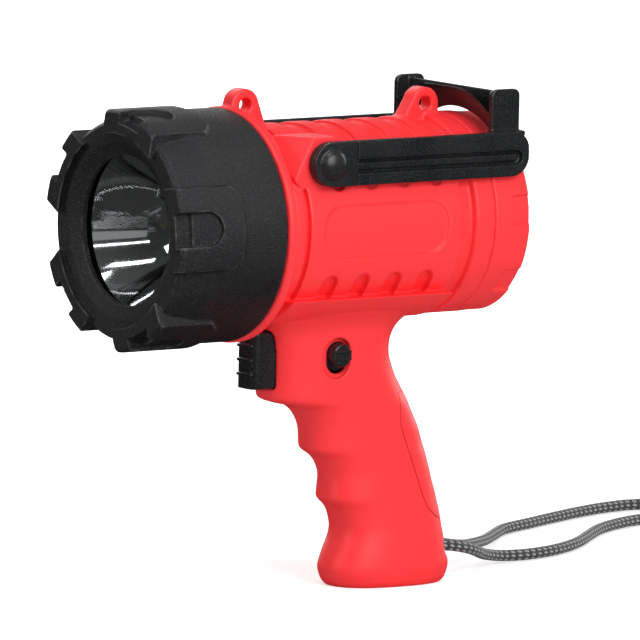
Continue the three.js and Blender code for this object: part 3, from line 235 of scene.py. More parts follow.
def mirrored(piece):
    return copied(piece, Matrix.Scale(-1, 4, (1, 0, 0)))


# Rounds every edge as a mould does: even voxels, then smoothing.
def soften(piece, voxel, rounds):
    remesh = piece.modifiers.new("remesh", "REMESH")
    remesh.mode = "VOXEL"
    remesh.voxel_size = voxel * mm
    smooth = piece.modifiers.new("smooth", "SMOOTH")
    smooth.factor = 0.5
    smooth.iterations = rounds
    return bake(piece)


# Leaves a share of the faces. It comes after the last cut.
def thinned(piece, share):
    fewer = piece.modifiers.new("fewer", "DECIMATE")
    fewer.ratio = share
    return bake(piece)


# A piece takes its first node's name, unless it is given its own.
def finishPiece(piece, finish, body, nodes, angle=35, name=None):
    mesh = piece.data
    piece.name = mesh.name = name or f"{nodes[0]}_visual"
    mesh.polygons.foreach_set("use_smooth", [angle > 0] * len(mesh.polygons))
    if 0 < angle < 180:
        mesh.set_sharp_from_angle(angle=math.radians(angle))
    mesh.materials.clear()
    mesh.materials.append(finish)
    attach(piece, body)
    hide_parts(*nodes)
    print(piece.name, len(mesh.polygons), "faces", flush=True)


# Lanyard: a braided cord that goes round the steel bar in the heel and lies on the table
cord = {"diameter": 5.2, "declared": 0.0056, "strands": 8, "around": 48, "step": 0.4, "relief": 0.45,
        "fine": 24, "roundness": 0.6, "crossing": 0.4}
# in tenths of a millimetre
cordRoute = [
    (-32, 235, 155), (-32, 332, 150), (-75, 452, 130), (-140, 547, 114), (-280, 697, 92),
    (-460, 872, 66), (-660, 1067, 42), (-860, 1267, 30), (-975, 1402, 29), (-1090, 1642, 29),
    (-1215, 1907, 29), (-1290, 2082, 29), (-1350, 2262, 29), (-1375, 2442, 29), (-1310, 2587, 29),
    (-1170, 2612, 29), (-1055, 2502, 29), (-980, 2282, 29), (-910, 2052, 29), (-790, 1827, 29),
    (-640, 1647, 29), (-490, 1477, 29), (-370, 1307, 29), (-290, 1137, 29), (-255, 982, 29),
    (-245, 847, 34), (-190, 722, 54), (-115, 627, 78), (-40, 547, 102), (15, 447, 130), (32, 332, 150),
    (32, 235, 155),
]
cordRoute = [tuple(v / 10000 for v in point) for point in cordRoute]


# A centripetal Catmull-Rom line through points, as points at even steps, and its length.
def smoothLine(points, step):
    known = [np.array(p) for p in points]
    known = [2 * known[0] - known[1], *known, 2 * known[-1] - known[-2]]
    dense = []
    for k in range(len(known) - 3):
        p = known[k:k + 4]
        t = [0.0]
        for i in range(3):
            t.append(t[-1] + max(float(np.linalg.norm(p[i + 1] - p[i])), 1e-9) ** 0.5)
        for j in range(cord["fine"]):
            u = t[1] + (t[2] - t[1]) * j / cord["fine"]
            level = p
            for spans in (((0, 1), (1, 2), (2, 3)), ((0, 2), (1, 3)), ((1, 2),)):
                level = [(level[i] * (t[b] - u) + level[i + 1] * (u - t[a])) / (t[b] - t[a])
                         for i, (a, b) in enumerate(spans)]
            dense.append(level[0])
    dense.append(known[-2])
    dense = np.array(dense)
    lengths = np.concatenate([[0], np.cumsum(np.linalg.norm(np.diff(dense, axis=0), axis=1))])
    count = int(lengths[-1] / step)
    stops = np.linspace(0, lengths[-1], count + 1)
    return np.stack([np.interp(stops, lengths, dense[:, i]) for i in range(3)], 1), float(lengths[-1])


def makeCord():
    path, length = smoothLine(cordRoute, cord["step"] * mm)
    ahead = np.gradient(path, axis=0)
    ahead /= np.linalg.norm(ahead, axis=1)[:, None]
    side = np.cross(ahead, (0, 0, 1.0))
    side /= np.linalg.norm(side, axis=1)[:, None]
    up = np.cross(side, ahead)
    around, rows = cord["around"], len(path)
    angle = np.arange(around) * 2 * np.pi / around
    strands = cord["strands"]
    pitch = math.pi * cord["diameter"] * mm / strands * 2
    travel = np.arange(rows)[:, None] * length / (rows - 1) / (pitch * strands / 2)
    turnShare = strands * angle[None, :] / (2 * np.pi)
    first, second = turnShare + travel * strands / 2, turnShare - travel * strands / 2
    ridge = [np.sin(np.pi * (family % 1)) ** cord["roundness"] for family in (first, second)]
    over = (np.floor(first) + np.floor(second)) % 2 == 1
    height = np.where(over, ridge[0], ridge[1])
    # Each strand is painted darker towards its edges, a painted shade in the grooves. The strands of one
    # family are a darker tone.
    toneWithShade = np.clip(height * np.where(over, 1.0, cord["crossing"]), 0, 1)
    radius = (cord["diameter"] / 2 - cord["relief"] * (1 - height)) * mm
    spokes = side[:, None] * np.cos(angle)[None, :, None] + up[:, None] * np.sin(angle)[None, :, None]
    points = (path[:, None] + spokes * radius[..., None]).reshape(-1, 3)
    ends = [tuple(range(around - 1, -1, -1)), tuple(range((rows - 1) * around, rows * around))]
    mesh = bpy.data.meshes.new("lanyard")
    mesh.from_pydata(points.tolist(), [], wallFaces(rows, around) + ends)
    strandToneAndShade = mesh.attributes.new("strandToneAndShade", "FLOAT", "POINT")
    strandToneAndShade.data.foreach_set("value", toneWithShade.reshape(-1).astype(np.float32))
    return placed("lanyard", mesh), path, length


lanyard, lanyardPath, lanyardLength = makeCord()
print("lanyard", round(lanyardLength, 4), "m", flush=True)


# Materials

def node(tree, kind, options=None, **sockets):
    made = tree.nodes.new("ShaderNode" + kind)
    for key, value in (options or {}).items():
        setattr(made, key, value)
    for key, value in sockets.items():
        socket = made.inputs[int(key[1:]) if key[1:].isdigit() else key.replace("_", " ")]
        if isinstance(value, bpy.types.NodeSocket):
            tree.links.new(value, socket)
        else:
            socket.default_value = value
    return made


def mapped(tree, value, low, high, **ends):
    return node(tree, "MapRange", {"clamp": True}, Value=value, i1=low, i2=high, **ends).outputs[0]


def smoothStep(tree, value, low, high, ends):
    return node(tree, "MapRange", {"clamp": True, "interpolation_type": "SMOOTHSTEP"}, Value=value,
                i1=low, i2=high, i3=ends[0], i4=ends[1]).outputs[0]


def joined(tree, share, first, second):
    return node(tree, "MixShader", None, i0=share, i1=first.outputs[0], i2=second.outputs[0])


def mixed(tree, share, first, second):
    return node(tree, "Mix", {"data_type": "RGBA"}, i0=share, i6=first, i7=second).outputs[2]


def maths(tree, operation, *values):
    given = {f"i{i}": value for i, value in enumerate(values)}
    return node(tree, "Math", {"operation": operation}, **given).outputs[0]


def noise(tree, place, scale, detail, **more):
    return node(tree, "TexNoise", None, Vector=place, Scale=scale, Detail=detail, **more).outputs["Fac"]


def newGroup(name, inputs, outputs):
    group = bpy.data.node_groups.new(name, "ShaderNodeTree")
    for label, value in inputs.items():
        socket = group.interface.new_socket(label, in_out="INPUT", socket_type="NodeSocketFloat")
        socket.default_value = value
    for label, kind in outputs.items():
        group.interface.new_socket(label, in_out="OUTPUT", socket_type="NodeSocket" + kind)
    return group, group.nodes.new("NodeGroupInput"), group.nodes.new("NodeGroupOutput")


# Fine moulded grain: small cells broken up by noise, as a normal and a height.
def makeGrain():
    group, given, result = newGroup("mouldedGrain", {"Scale": 1500, "Strength": 0.2, "Depth": 0.00005},
                                    {"Normal": "Vector", "Height": "Float"})
    place = node(group, "TexCoord").outputs["Object"]
    scale = given.outputs["Scale"]
    cells = node(group, "TexVoronoi", {"feature": "SMOOTH_F1"}, Vector=place, Scale=scale, Smoothness=0.6)
    finer = noise(group, place, maths(group, "MULTIPLY", scale, 1.7), 3.0, Roughness=0.6)
    height = maths(group, "SUBTRACT", finer, cells.outputs["Distance"])
    bump = node(group, "Bump", None, Strength=given.outputs["Strength"], Distance=given.outputs["Depth"],
                Height=height)
    group.links.new(bump.outputs["Normal"], result.inputs["Normal"])
    group.links.new(height, result.inputs["Height"])
    return group


# Handling: soft large blotches, as a mask from 0 to 1.
def makeHandling():
    group, given, result = newGroup("handling", {"Scale": 30}, {"Mask": "Float"})
    place = node(group, "TexCoord").outputs["Object"]
    blotch = noise(group, place, given.outputs["Scale"], 5.0, Roughness=0.6)
    group.links.new(mapped(group, blotch, 0.35, 0.7), result.inputs["Mask"])
    return group


# Painted edge highlight: the outer edges of a fine mesh made lighter, broken up by noise.
def makeEdgeHighlight():
    group, given, result = newGroup("paintedEdgeHighlight", {"Low": 0.53, "High": 0.6}, {"Mask": "Float"})
    place = node(group, "TexCoord").outputs["Object"]
    pointed = node(group, "NewGeometry").outputs["Pointiness"]
    edge = mapped(group, pointed, given.outputs["Low"], given.outputs["High"])
    broken = mapped(group, noise(group, place, 220.0, 4.0), 0.4, 0.6)
    group.links.new(maths(group, "MULTIPLY", edge, broken), result.inputs["Mask"])
    return group


grainGroup, handlingGroup, edgeHighlightGroup = makeGrain(), makeHandling(), makeEdgeHighlight()


def newMaterial(name):
    material = bpy.data.materials.new(name)
    material.use_nodes = True
    return material, material.node_tree, material.node_tree.nodes["Principled BSDF"]


def useGroup(tree, group, **values):
    return node(tree, "Group", {"node_tree": group}, **values)


glintHeights = (0.22, 0.42)
white = (1, 1, 1, 1)


# A surface: two tones and two roughnesses mixed by the handling mask, over a grain of (scale, strength,
# depth). A speck tone is a painted highlight on the grain's high spots, and edge is (tone, share, low,
# high) of a painted highlight on the outer edges.
def moulded(name, tones, roughness, grain, blotch=30, grainGlint=None, edge=None, **constants):
    material, tree, shader = newMaterial(name)
    for key, value in constants.items():
        shader.inputs[key.replace("_", " ")].default_value = value
    handling = useGroup(tree, handlingGroup, Scale=blotch).outputs["Mask"]
    colour = mixed(tree, handling, (*tones[0], 1), (*tones[1], 1))
    # Painted highlight: the outer edges are made lighter.
    if edge:
        litEdge = useGroup(tree, edgeHighlightGroup, Low=edge[2], High=edge[3]).outputs["Mask"]
        colour = mixed(tree, maths(tree, "MULTIPLY", litEdge, edge[1]), colour, (*edge[0], 1))
    rough = mapped(tree, handling, 0, 1, i3=roughness[0], i4=roughness[1])
    tree.links.new(rough, shader.inputs["Roughness"])
    bumps = useGroup(tree, grainGroup, Scale=grain[0], Strength=grain[1], Depth=grain[2])
    # Painted highlight: the grain's high spots are made lighter.
    if grainGlint:
        colour = mixed(tree, mapped(tree, bumps.outputs["Height"], *glintHeights), colour, (*grainGlint, 1))
    tree.links.new(colour, shader.inputs["Base Color"])
    tree.links.new(bumps.outputs["Normal"], shader.inputs["Normal"])
    return material


# The edge tones below are painted highlights on outer edges, and the speck tones are painted highlights
# on the grain.
redMoulding = moulded(
    "redMoulding", [(0.95, 0.034, 0.041), (0.91, 0.031, 0.038)], (0.42, 0.5), (2600, 0.12, 0.00003),
    blotch=24, edge=((0.95, 0.12, 0.11), 0.35, 0.53, 0.6), IOR=1.41)
blackRubber = moulded(
    "blackRubber", [(0.009, 0.0095, 0.011), (0.013, 0.0135, 0.0155)], (0.44, 0.56), (1050, 0.9, 0.0004),
    grainGlint=(0.05, 0.051, 0.054), edge=((0.13, 0.13, 0.135), 0.8, 0.512, 0.56), IOR=1.4)
blackMoulding = moulded(
    "blackMoulding", [(0.01, 0.011, 0.012), (0.016, 0.017, 0.018)], (0.2, 0.3), (1700, 0.4, 0.0001),
    blotch=40, grainGlint=(0.055, 0.056, 0.059), edge=((0.09, 0.09, 0.095), 0.5, 0.53, 0.6), IOR=1.45)
greyMoulding = moulded(
    "greyMoulding", [(0.1, 0.11, 0.12), (0.13, 0.14, 0.15)], (0.5, 0.62), (1800, 0.2, 0.00005))
chromeBowl = moulded(
    "chromeBowl", [(0.86, 0.87, 0.88), (0.8, 0.81, 0.83)], (0.05, 0.09), (120, 0.05, 0.00005),
    blotch=60, Metallic=1)
steel = moulded(
    "steel", [(0.56, 0.57, 0.58), (0.5, 0.51, 0.52)], (0.24, 0.36), (900, 0.08, 0.00003), Metallic=1)
alloy = moulded(
    "alloy", [(0.6, 0.61, 0.63), (0.52, 0.53, 0.55)], (0.38, 0.5), (1400, 0.2, 0.00005), Metallic=1)
brass = moulded(
    "brass", [(0.72, 0.52, 0.2), (0.62, 0.44, 0.16)], (0.28, 0.42), (900, 0.08, 0.00003), Metallic=1)
board = moulded(
    "board", [(0.02, 0.15, 0.06), (0.03, 0.19, 0.08)], (0.35, 0.5), (600, 0.1, 0.00003))
# Painted glow: the phosphor gives off a faint yellow light of its own.
glowingLedPhosphor = moulded(
    "glowingLedPhosphor", [(0.85, 0.62, 0.07), (0.8, 0.55, 0.05)], (0.3, 0.4), (3000, 0.2, 0.00003),
    Emission_Color=(1, 0.72, 0.12, 1), Emission_Strength=0.6)
ledBase = moulded(
    "ledBase", [(0.75, 0.75, 0.73), (0.68, 0.68, 0.66)], (0.4, 0.5), (2500, 0.15, 0.00003))
cellJacket = moulded(
    "cellJacket", [(0.045, 0.06, 0.08), (0.06, 0.075, 0.1)], (0.25, 0.4), (500, 0.06, 0.00003))
sealRubber = moulded(
    "sealRubber", [(0.02, 0.02, 0.02), (0.03, 0.03, 0.03)], (0.55, 0.7), (1800, 0.25, 0.00005))
wireJacket = moulded(
    "wireJacket", [(0.4, 0.02, 0.02), (0.34, 0.018, 0.018)], (0.35, 0.5), (900, 0.08, 0.00003))


# The lens lets light straight through and reflects by its Fresnel share.
def makeClearLens():
    material, tree, shader = newMaterial("clearLens")
    tree.nodes.remove(shader)
    through = node(tree, "BsdfTransparent", None, Color=(0.97, 0.98, 0.98, 1))
    gloss = node(tree, "BsdfGlossy", None, Color=white, Roughness=0.02)
    outer = maths(tree, "SUBTRACT", 1.0, node(tree, "NewGeometry").outputs["Backfacing"])
    front = maths(tree, "MULTIPLY", node(tree, "Fresnel", None, IOR=1.35).outputs[0], outer)
    both = joined(tree, front, through, gloss)
    tree.links.new(both.outputs[0], tree.nodes["Material Output"].inputs["Surface"])
    return material


# Braided cord: the attribute carries how light each strand is, with painted shade in the grooves between
# strands.
def makeBraid():
    material, tree, shader = newMaterial("braidedCord")
    strandToneAndShade = node(tree, "Attribute", {"attribute_name": "strandToneAndShade"}).outputs["Fac"]
    fibre = noise(tree, node(tree, "TexCoord").outputs["Object"], 3500.0, 3.0)
    light = mapped(tree, maths(tree, "MULTIPLY_ADD", fibre, 0.5, strandToneAndShade), 0.55, 1.35)
    colour = mixed(tree, light, (0.008, 0.008, 0.009, 1), (0.4, 0.405, 0.42, 1))
    tree.links.new(colour, shader.inputs["Base Color"])
    bump = node(tree, "Bump", None, Strength=0.4, Distance=0.0001, Height=fibre)
    tree.links.new(bump.outputs["Normal"], shader.inputs["Normal"])
    shader.inputs["Roughness"].default_value = 0.75
    shader.inputs["Sheen Weight"].default_value = 0.15
    return material


clearLens = makeClearLens()
braidedCord = makeBraid()
print("materials made", flush=True)


finishPiece(lanyard, braidedCord, "housing", ["lanyard_cord"], 180, "lanyard")

# Bezel: a rubber-armoured ring with five lugs, each with a U-shaped recess that is open to the front
bezel = {
    "radius": 52, "rear": 51.6, "wall": 3.7, "aperture": 33.4, "lip": 3.5, "mouthRise": 2.8,
    "rimRadius": 49, "rimInner": 39, "rimRound": 1.6, "taperEnd": 12, "edge": 0.8, "seat": 2.2,
    "seatDepth": 3, "pocketRadius": 45.3, "pocketEnd": 8.9, "reach": 64, "lugs": 5, "tilt": 6,
    "halfWidth": 18.6, "proud": 1.8, "lugEnd": 28.6, "cornerCut": 6.5, "lugInner": 43, "sink": 2,
    "frontRise": 3, "frontBevel": 1.4, "slotHalf": 7.6, "slotEnd": 15.5, "slotDepth": 2.1,
    "slotMouth": 48, "recess": 1.3, "voxel": 0.55,
}


def makeBezel():
    b = bezel
    radius, rim, rear, lip, taper = (b[key] for key in ("radius", "rimRadius", "rear", "lip", "taperEnd"))
    far, bend, edge = b["reach"], b["rimRound"], b["edge"]
    body = turned([
        (0, b["seatDepth"]), (b["aperture"], b["seatDepth"]), (b["aperture"], 0),
        (b["rimInner"], -b["mouthRise"]), (rim - bend, -lip), (rim, -lip + bend),
        (radius - edge, taper - bend), (radius, taper + bend), (radius, rear - edge),
        (radius - edge, rear), (0, rear),
    ])
    front, outer, root = -lip - b["frontRise"], radius + b["proud"], radius - b["sink"]
    half, end, corner = b["halfWidth"], b["lugEnd"], b["cornerCut"]
    pad = pushed([(-half, front), (half, front), (half, end - corner), (half - corner, end),
                  (corner - half, end), (-half, end - corner)], 0, far, "z")
    skin = turned([
        (b["lugInner"], front), (outer - b["frontBevel"], front), (outer, front + b["frontBevel"]),
        (outer, end - b["proud"]), (outer - b["proud"], end), (root, end), (root, taper),
        (rim - b["sink"], b["seat"])])
    start, slotEnd = front - past - b["slotHalf"], b["slotEnd"]
    shape = slotShape(b["slotHalf"] * 2, slotEnd - start, (0, (slotEnd + start) / 2))
    depth = combine(ring(outer - b["slotDepth"], far, front - past, slotEnd + past),
                    join=[ring(b["slotMouth"], far, front - past, 0)])
    tool = combine(pushed(shape, 0, far, "z"), common=[depth])
    lug = combine(pad, common=[skin], cut=[tool])
    recess = combine(pushed(shape, 0, far, "z"),
                     common=[ring(radius - b["recess"], far, 0, slotEnd + past)])
    combine(body, cut=spread(recess, b["lugs"], b["tilt"]))
    combine(body, join=spread(lug, b["lugs"], b["tilt"]))
    soften(body, b["voxel"], 3)
    inner, rear = radius - b["wall"], rear + past
    pocket = turned([
        (0, b["seat"]), (b["pocketRadius"], b["seat"]), (b["pocketRadius"], b["pocketEnd"]),
        (inner, b["pocketEnd"]), (inner, rear), (0, rear)])
    return thinned(combine(body, cut=[pocket]), 0.6)


finishPiece(makeBezel(), blackRubber, "bezel", ["head_bezel"])

# Reflector: a polished bowl with a faceted inner cone that stands a step proud of it
bowl = {"rimRadius": 36, "throat": 6.2, "front": 7.3, "depth": 29, "shell": 1.2, "flange": 45,
        "rimDepth": 1.6, "rows": 16, "coneRadius": 20.5, "coneRise": 0.9, "facets": 28,
        "coneRows": (1, 0.8, 0.62, 0.45), "coneBack": (0.4, 0.5)}


def makeBowl():
    w = bowl
    rim = w["rimRadius"]

    def depthAt(radius):
        return w["front"] + w["depth"] * (rim ** 2 - radius ** 2) / (rim ** 2 - w["throat"] ** 2)

    inside = [(radius, depthAt(radius)) for radius in np.linspace(rim, w["throat"], w["rows"])]
    outside = [(radius + w["shell"], depth) for radius, depth in reversed(inside)]
    rear = w["front"] + w["rimDepth"]
    outside[-1] = (rim + w["shell"], rear)
    whole = turned([*inside, *outside, (w["flange"], rear), (w["flange"], w["front"])])
    radii = [w["coneRadius"] * share for share in w["coneRows"]]
    face = [(radius, depthAt(radius) - w["coneRise"] * radius / w["coneRadius"]) for radius in radii]
    out, deep = w["coneBack"]
    back = [(radius + out, depthAt(radius) + deep) for radius in (radii[-1], radii[0])]
    return whole, turned([*face, *back], w["facets"])


reflector, cone = makeBowl()
finishPiece(reflector, chromeBowl, "housing", ["reflector"])
finishPiece(cone, chromeBowl, "housing", ["reflector"], 0, "reflector_cone")

# Light source: a pale package with a yellow phosphor under a clear dome
emitter = {"rear": 36.3, "front": 35.3, "size": 5, "corner": 0.4, "dome": 1.9, "sink": 0.2}


def makeEmitter():
    e = emitter
    outline = roundRect(e["size"], e["size"], e["corner"])
    profile = [(0, e["front"] + e["sink"]), *domeLine(e["dome"], -e["dome"], e["front"], 16)]
    return pushed(outline, e["front"], e["rear"], "y"), turned(profile, 48)


package, dome = makeEmitter()
finishPiece(package, ledBase, "housing", ["led_emitter"], name="led_package")
finishPiece(dome, glowingLedPhosphor, "housing", ["led_emitter"], name="led_dome")

# Main housing: collars, flange, barrel, hinge bosses, eyelets, saddle and pistol grip in one moulding
grip = {"rows": 120, "around": 96, "wall": 3, "floor": 3.5, "cavityTop": 0.715, "cavityMesh": (24, 40),
        "seam": 0.3, "rib": (0.2, 3, 1.5)}
gripStations = [
    # in thousandths: height as a share of the axis height, then front, rear and half
    # width as shares of the base, and squareness
    (0, -452, 452, 266, 340), (12, -482, 482, 288, 400), (48, -512, 508, 300, 460),
    (76, -489, 491, 296, 500), (103, -457, 470, 289, 550), (130, -424, 453, 284, 560),
    (157, -410, 436, 279, 550), (184, -425, 421, 276, 550), (209, -455, 405, 273, 550),
    (224, -492, 394, 271, 550), (233, -524, 388, 270, 550), (242, -540, 382, 270, 550),
    (255, -540, 371, 269, 550), (276, -533, 350, 267, 550), (307, -531, 325, 265, 550),
    (340, -572, 297, 265, 550), (359, -624, 280, 266, 550), (370, -678, 270, 266, 550),
    (380, -704, 259, 267, 550), (398, -710, 242, 268, 550), (430, -714, 208, 271, 560),
    (456, -738, 170, 274, 570), (482, -790, 133, 278, 580), (500, -870, 110, 282, 580),
    (509, -990, 100, 285, 560), (522, -1080, 82, 288, 520), (545, -1100, 46, 290, 470),
    (570, -1100, 5, 294, 450), (610, -1100, -44, 300, 450), (640, -1100, -68, 306, 480),
    (675, -1105, -64, 312, 520), (700, -1120, -42, 322, 580), (720, -1160, -5, 342, 620),
    (742, -1230, 60, 385, 660), (760, -1270, 110, 435, 720), (785, -1280, 112, 500, 900),
    (812, -1280, 112, 560, 1200),
]
gripStations = [tuple(v / 1000 for v in station) for station in gripStations]
strapShares = [(-0.052, 0.526), (-0.055, 0.443), (0.166, 0.242), (0.215, 0.207), (0.306, 0.182),
               (0.700, 0.164), (0.700, 0.526)]


def stationAt(share, column):
    rows, last = gripStations, len(gripStations) - 1
    i = next((k for k in range(last - 1) if share <= rows[k + 1][0]), last - 1)

    def slope(k):
        before, after = rows[max(k - 1, 0)], rows[min(k + 1, last)]
        return (after[column] - before[column]) / (after[0] - before[0])

    span = rows[i + 1][0] - rows[i][0]
    t = (share - rows[i][0]) / span
    start, end = rows[i][column], rows[i + 1][column]
    bulge = slope(i) * (1 - t) - slope(i + 1) * t
    return start + (end - start) * t * t * (3 - 2 * t) + t * (1 - t) * span * bulge


def gripLoft(low, high, rows, inset, count):
    points = []
    for k in range(rows + 1):
        share = low + (high - low) * k / rows
        front, rear, half, square = (stationAt(share, column) for column in (1, 2, 3, 4))
        middle = lamp["setback"] + lamp["baseLength"] * (front + rear) / 2
        length = lamp["baseLength"] * (rear - front) / 2 - inset
        width = lamp["baseLength"] * half - inset
        power = 1 - square / 2
        for i in range(count):
            c, s = math.cos(2 * math.pi * i / count), math.sin(2 * math.pi * i / count)
            points.append((math.copysign(abs(c) ** power, c) * width,
                           middle + math.copysign(abs(s) ** power, s) * length,
                           lamp["axisHeight"] * (share - 1)))
    ends = [tuple(range(count)), tuple(range(rows * count, (rows + 1) * count))]
    return addObject(points, ends + wallFaces(rows + 1, count))


def makeStrapTool(gap):
    outline = []
    for i, (along, height) in enumerate(strapShares):
        rise = gap if i in (0, len(strapShares) - 1) else -gap
        outline.append((lamp["setback"] + lamp["baseLength"] * along - gap,
                        lamp["axisHeight"] * (height - 1) + rise))
    return pushed(outline, -lamp["baseLength"], lamp["baseLength"])


def makeCavity(grow=0):
    rows, around = grip["cavityMesh"]
    low = grip["floor"] / lamp["axisHeight"]
    return gripLoft(low, grip["cavityTop"], rows, grip["wall"] - grow, around)


housing = {
    "flangeFront": 51.9, "flangeRear": 57.1, "flangeRadius": 52.6, "flangeRound": 1,
    "grooveRadius": 42.6, "barrelFront": 61.1, "barrel": 44, "bore": 41, "panelEnd": 152, "neck": 42,
    "ringFront": 159.4, "ringRear": 170, "capRadius": 45.1, "tail": 42.6, "tailEnd": 184.9,
    "collar": 48, "collarFront": 9.2, "collarInner": 43, "shelf": (48.6, 51.6), "shelfHole": 22,
    "bulkhead": (110, 113), "voxel": 0.6, "panelStart": 69.2, "panelHigh": 24, "panelLow": -36,
    "panelCorner": 1, "panelProud": 1, "panelReach": 52, "skinTop": 47, "grooveCount": 4,
    "upperGrooves": (86.5, 17.8, 9, 17.5), "lowerGrooves": (84.8, 17.4, 8.2, -20.5), "grooveDepth": 2,
    "recess": (68, 23.6, 10, 110.8, -0.6), "recessDepth": 1.2, "slit": (67.4, 69.2, 42),
    "sleeve": (53.4, 45.6, -31.2, 64.6, 152.3), "boss": (61.4, 93, 18.6, 41.6, 9, 3),
    "bossReach": (22, 40.6), "bossCone": ((44.5, 61), (59, 73), 98),
    "eyelets": ((61.2, 53.1, 72.8, 1), (160, 49.7, 147.4, -1)), "eyeletRadius": 7.2, "eyeletHole": 3.2,
    "eyeletHalf": 4, "eyeletSlope": 0.82, "eyeletFoot": 42.5, "triggerSlot": (14.6, 26.4, 1.6, -61.3),
    "triggerFront": 65.4, "triggerRear": 92, "lips": (80.7, 8.7, -74.2, -48.4), "button": (105, -59.2),
    "buttonHole": 5.6, "buttonSeat": 7.3, "buttonRecess": (14, 18.4, 103.8, -60.6), "buttonDepth": 2.4,
    "buttonDrop": 3, "buttonReach": 4, "heel": (25, 8.4, -150.3, 163.4, 210),
    "wireHole": (30, 4, 108, 115), "duct": (104.8, 4, -49.5, -39), "bar": ((166, -150.5), 2.3, 13.3),
    "pins": ((79.5, 29.9), 3.3, 32.6, 45), "sealGroove": (45.8, 50, 46.2, 48.4),
}


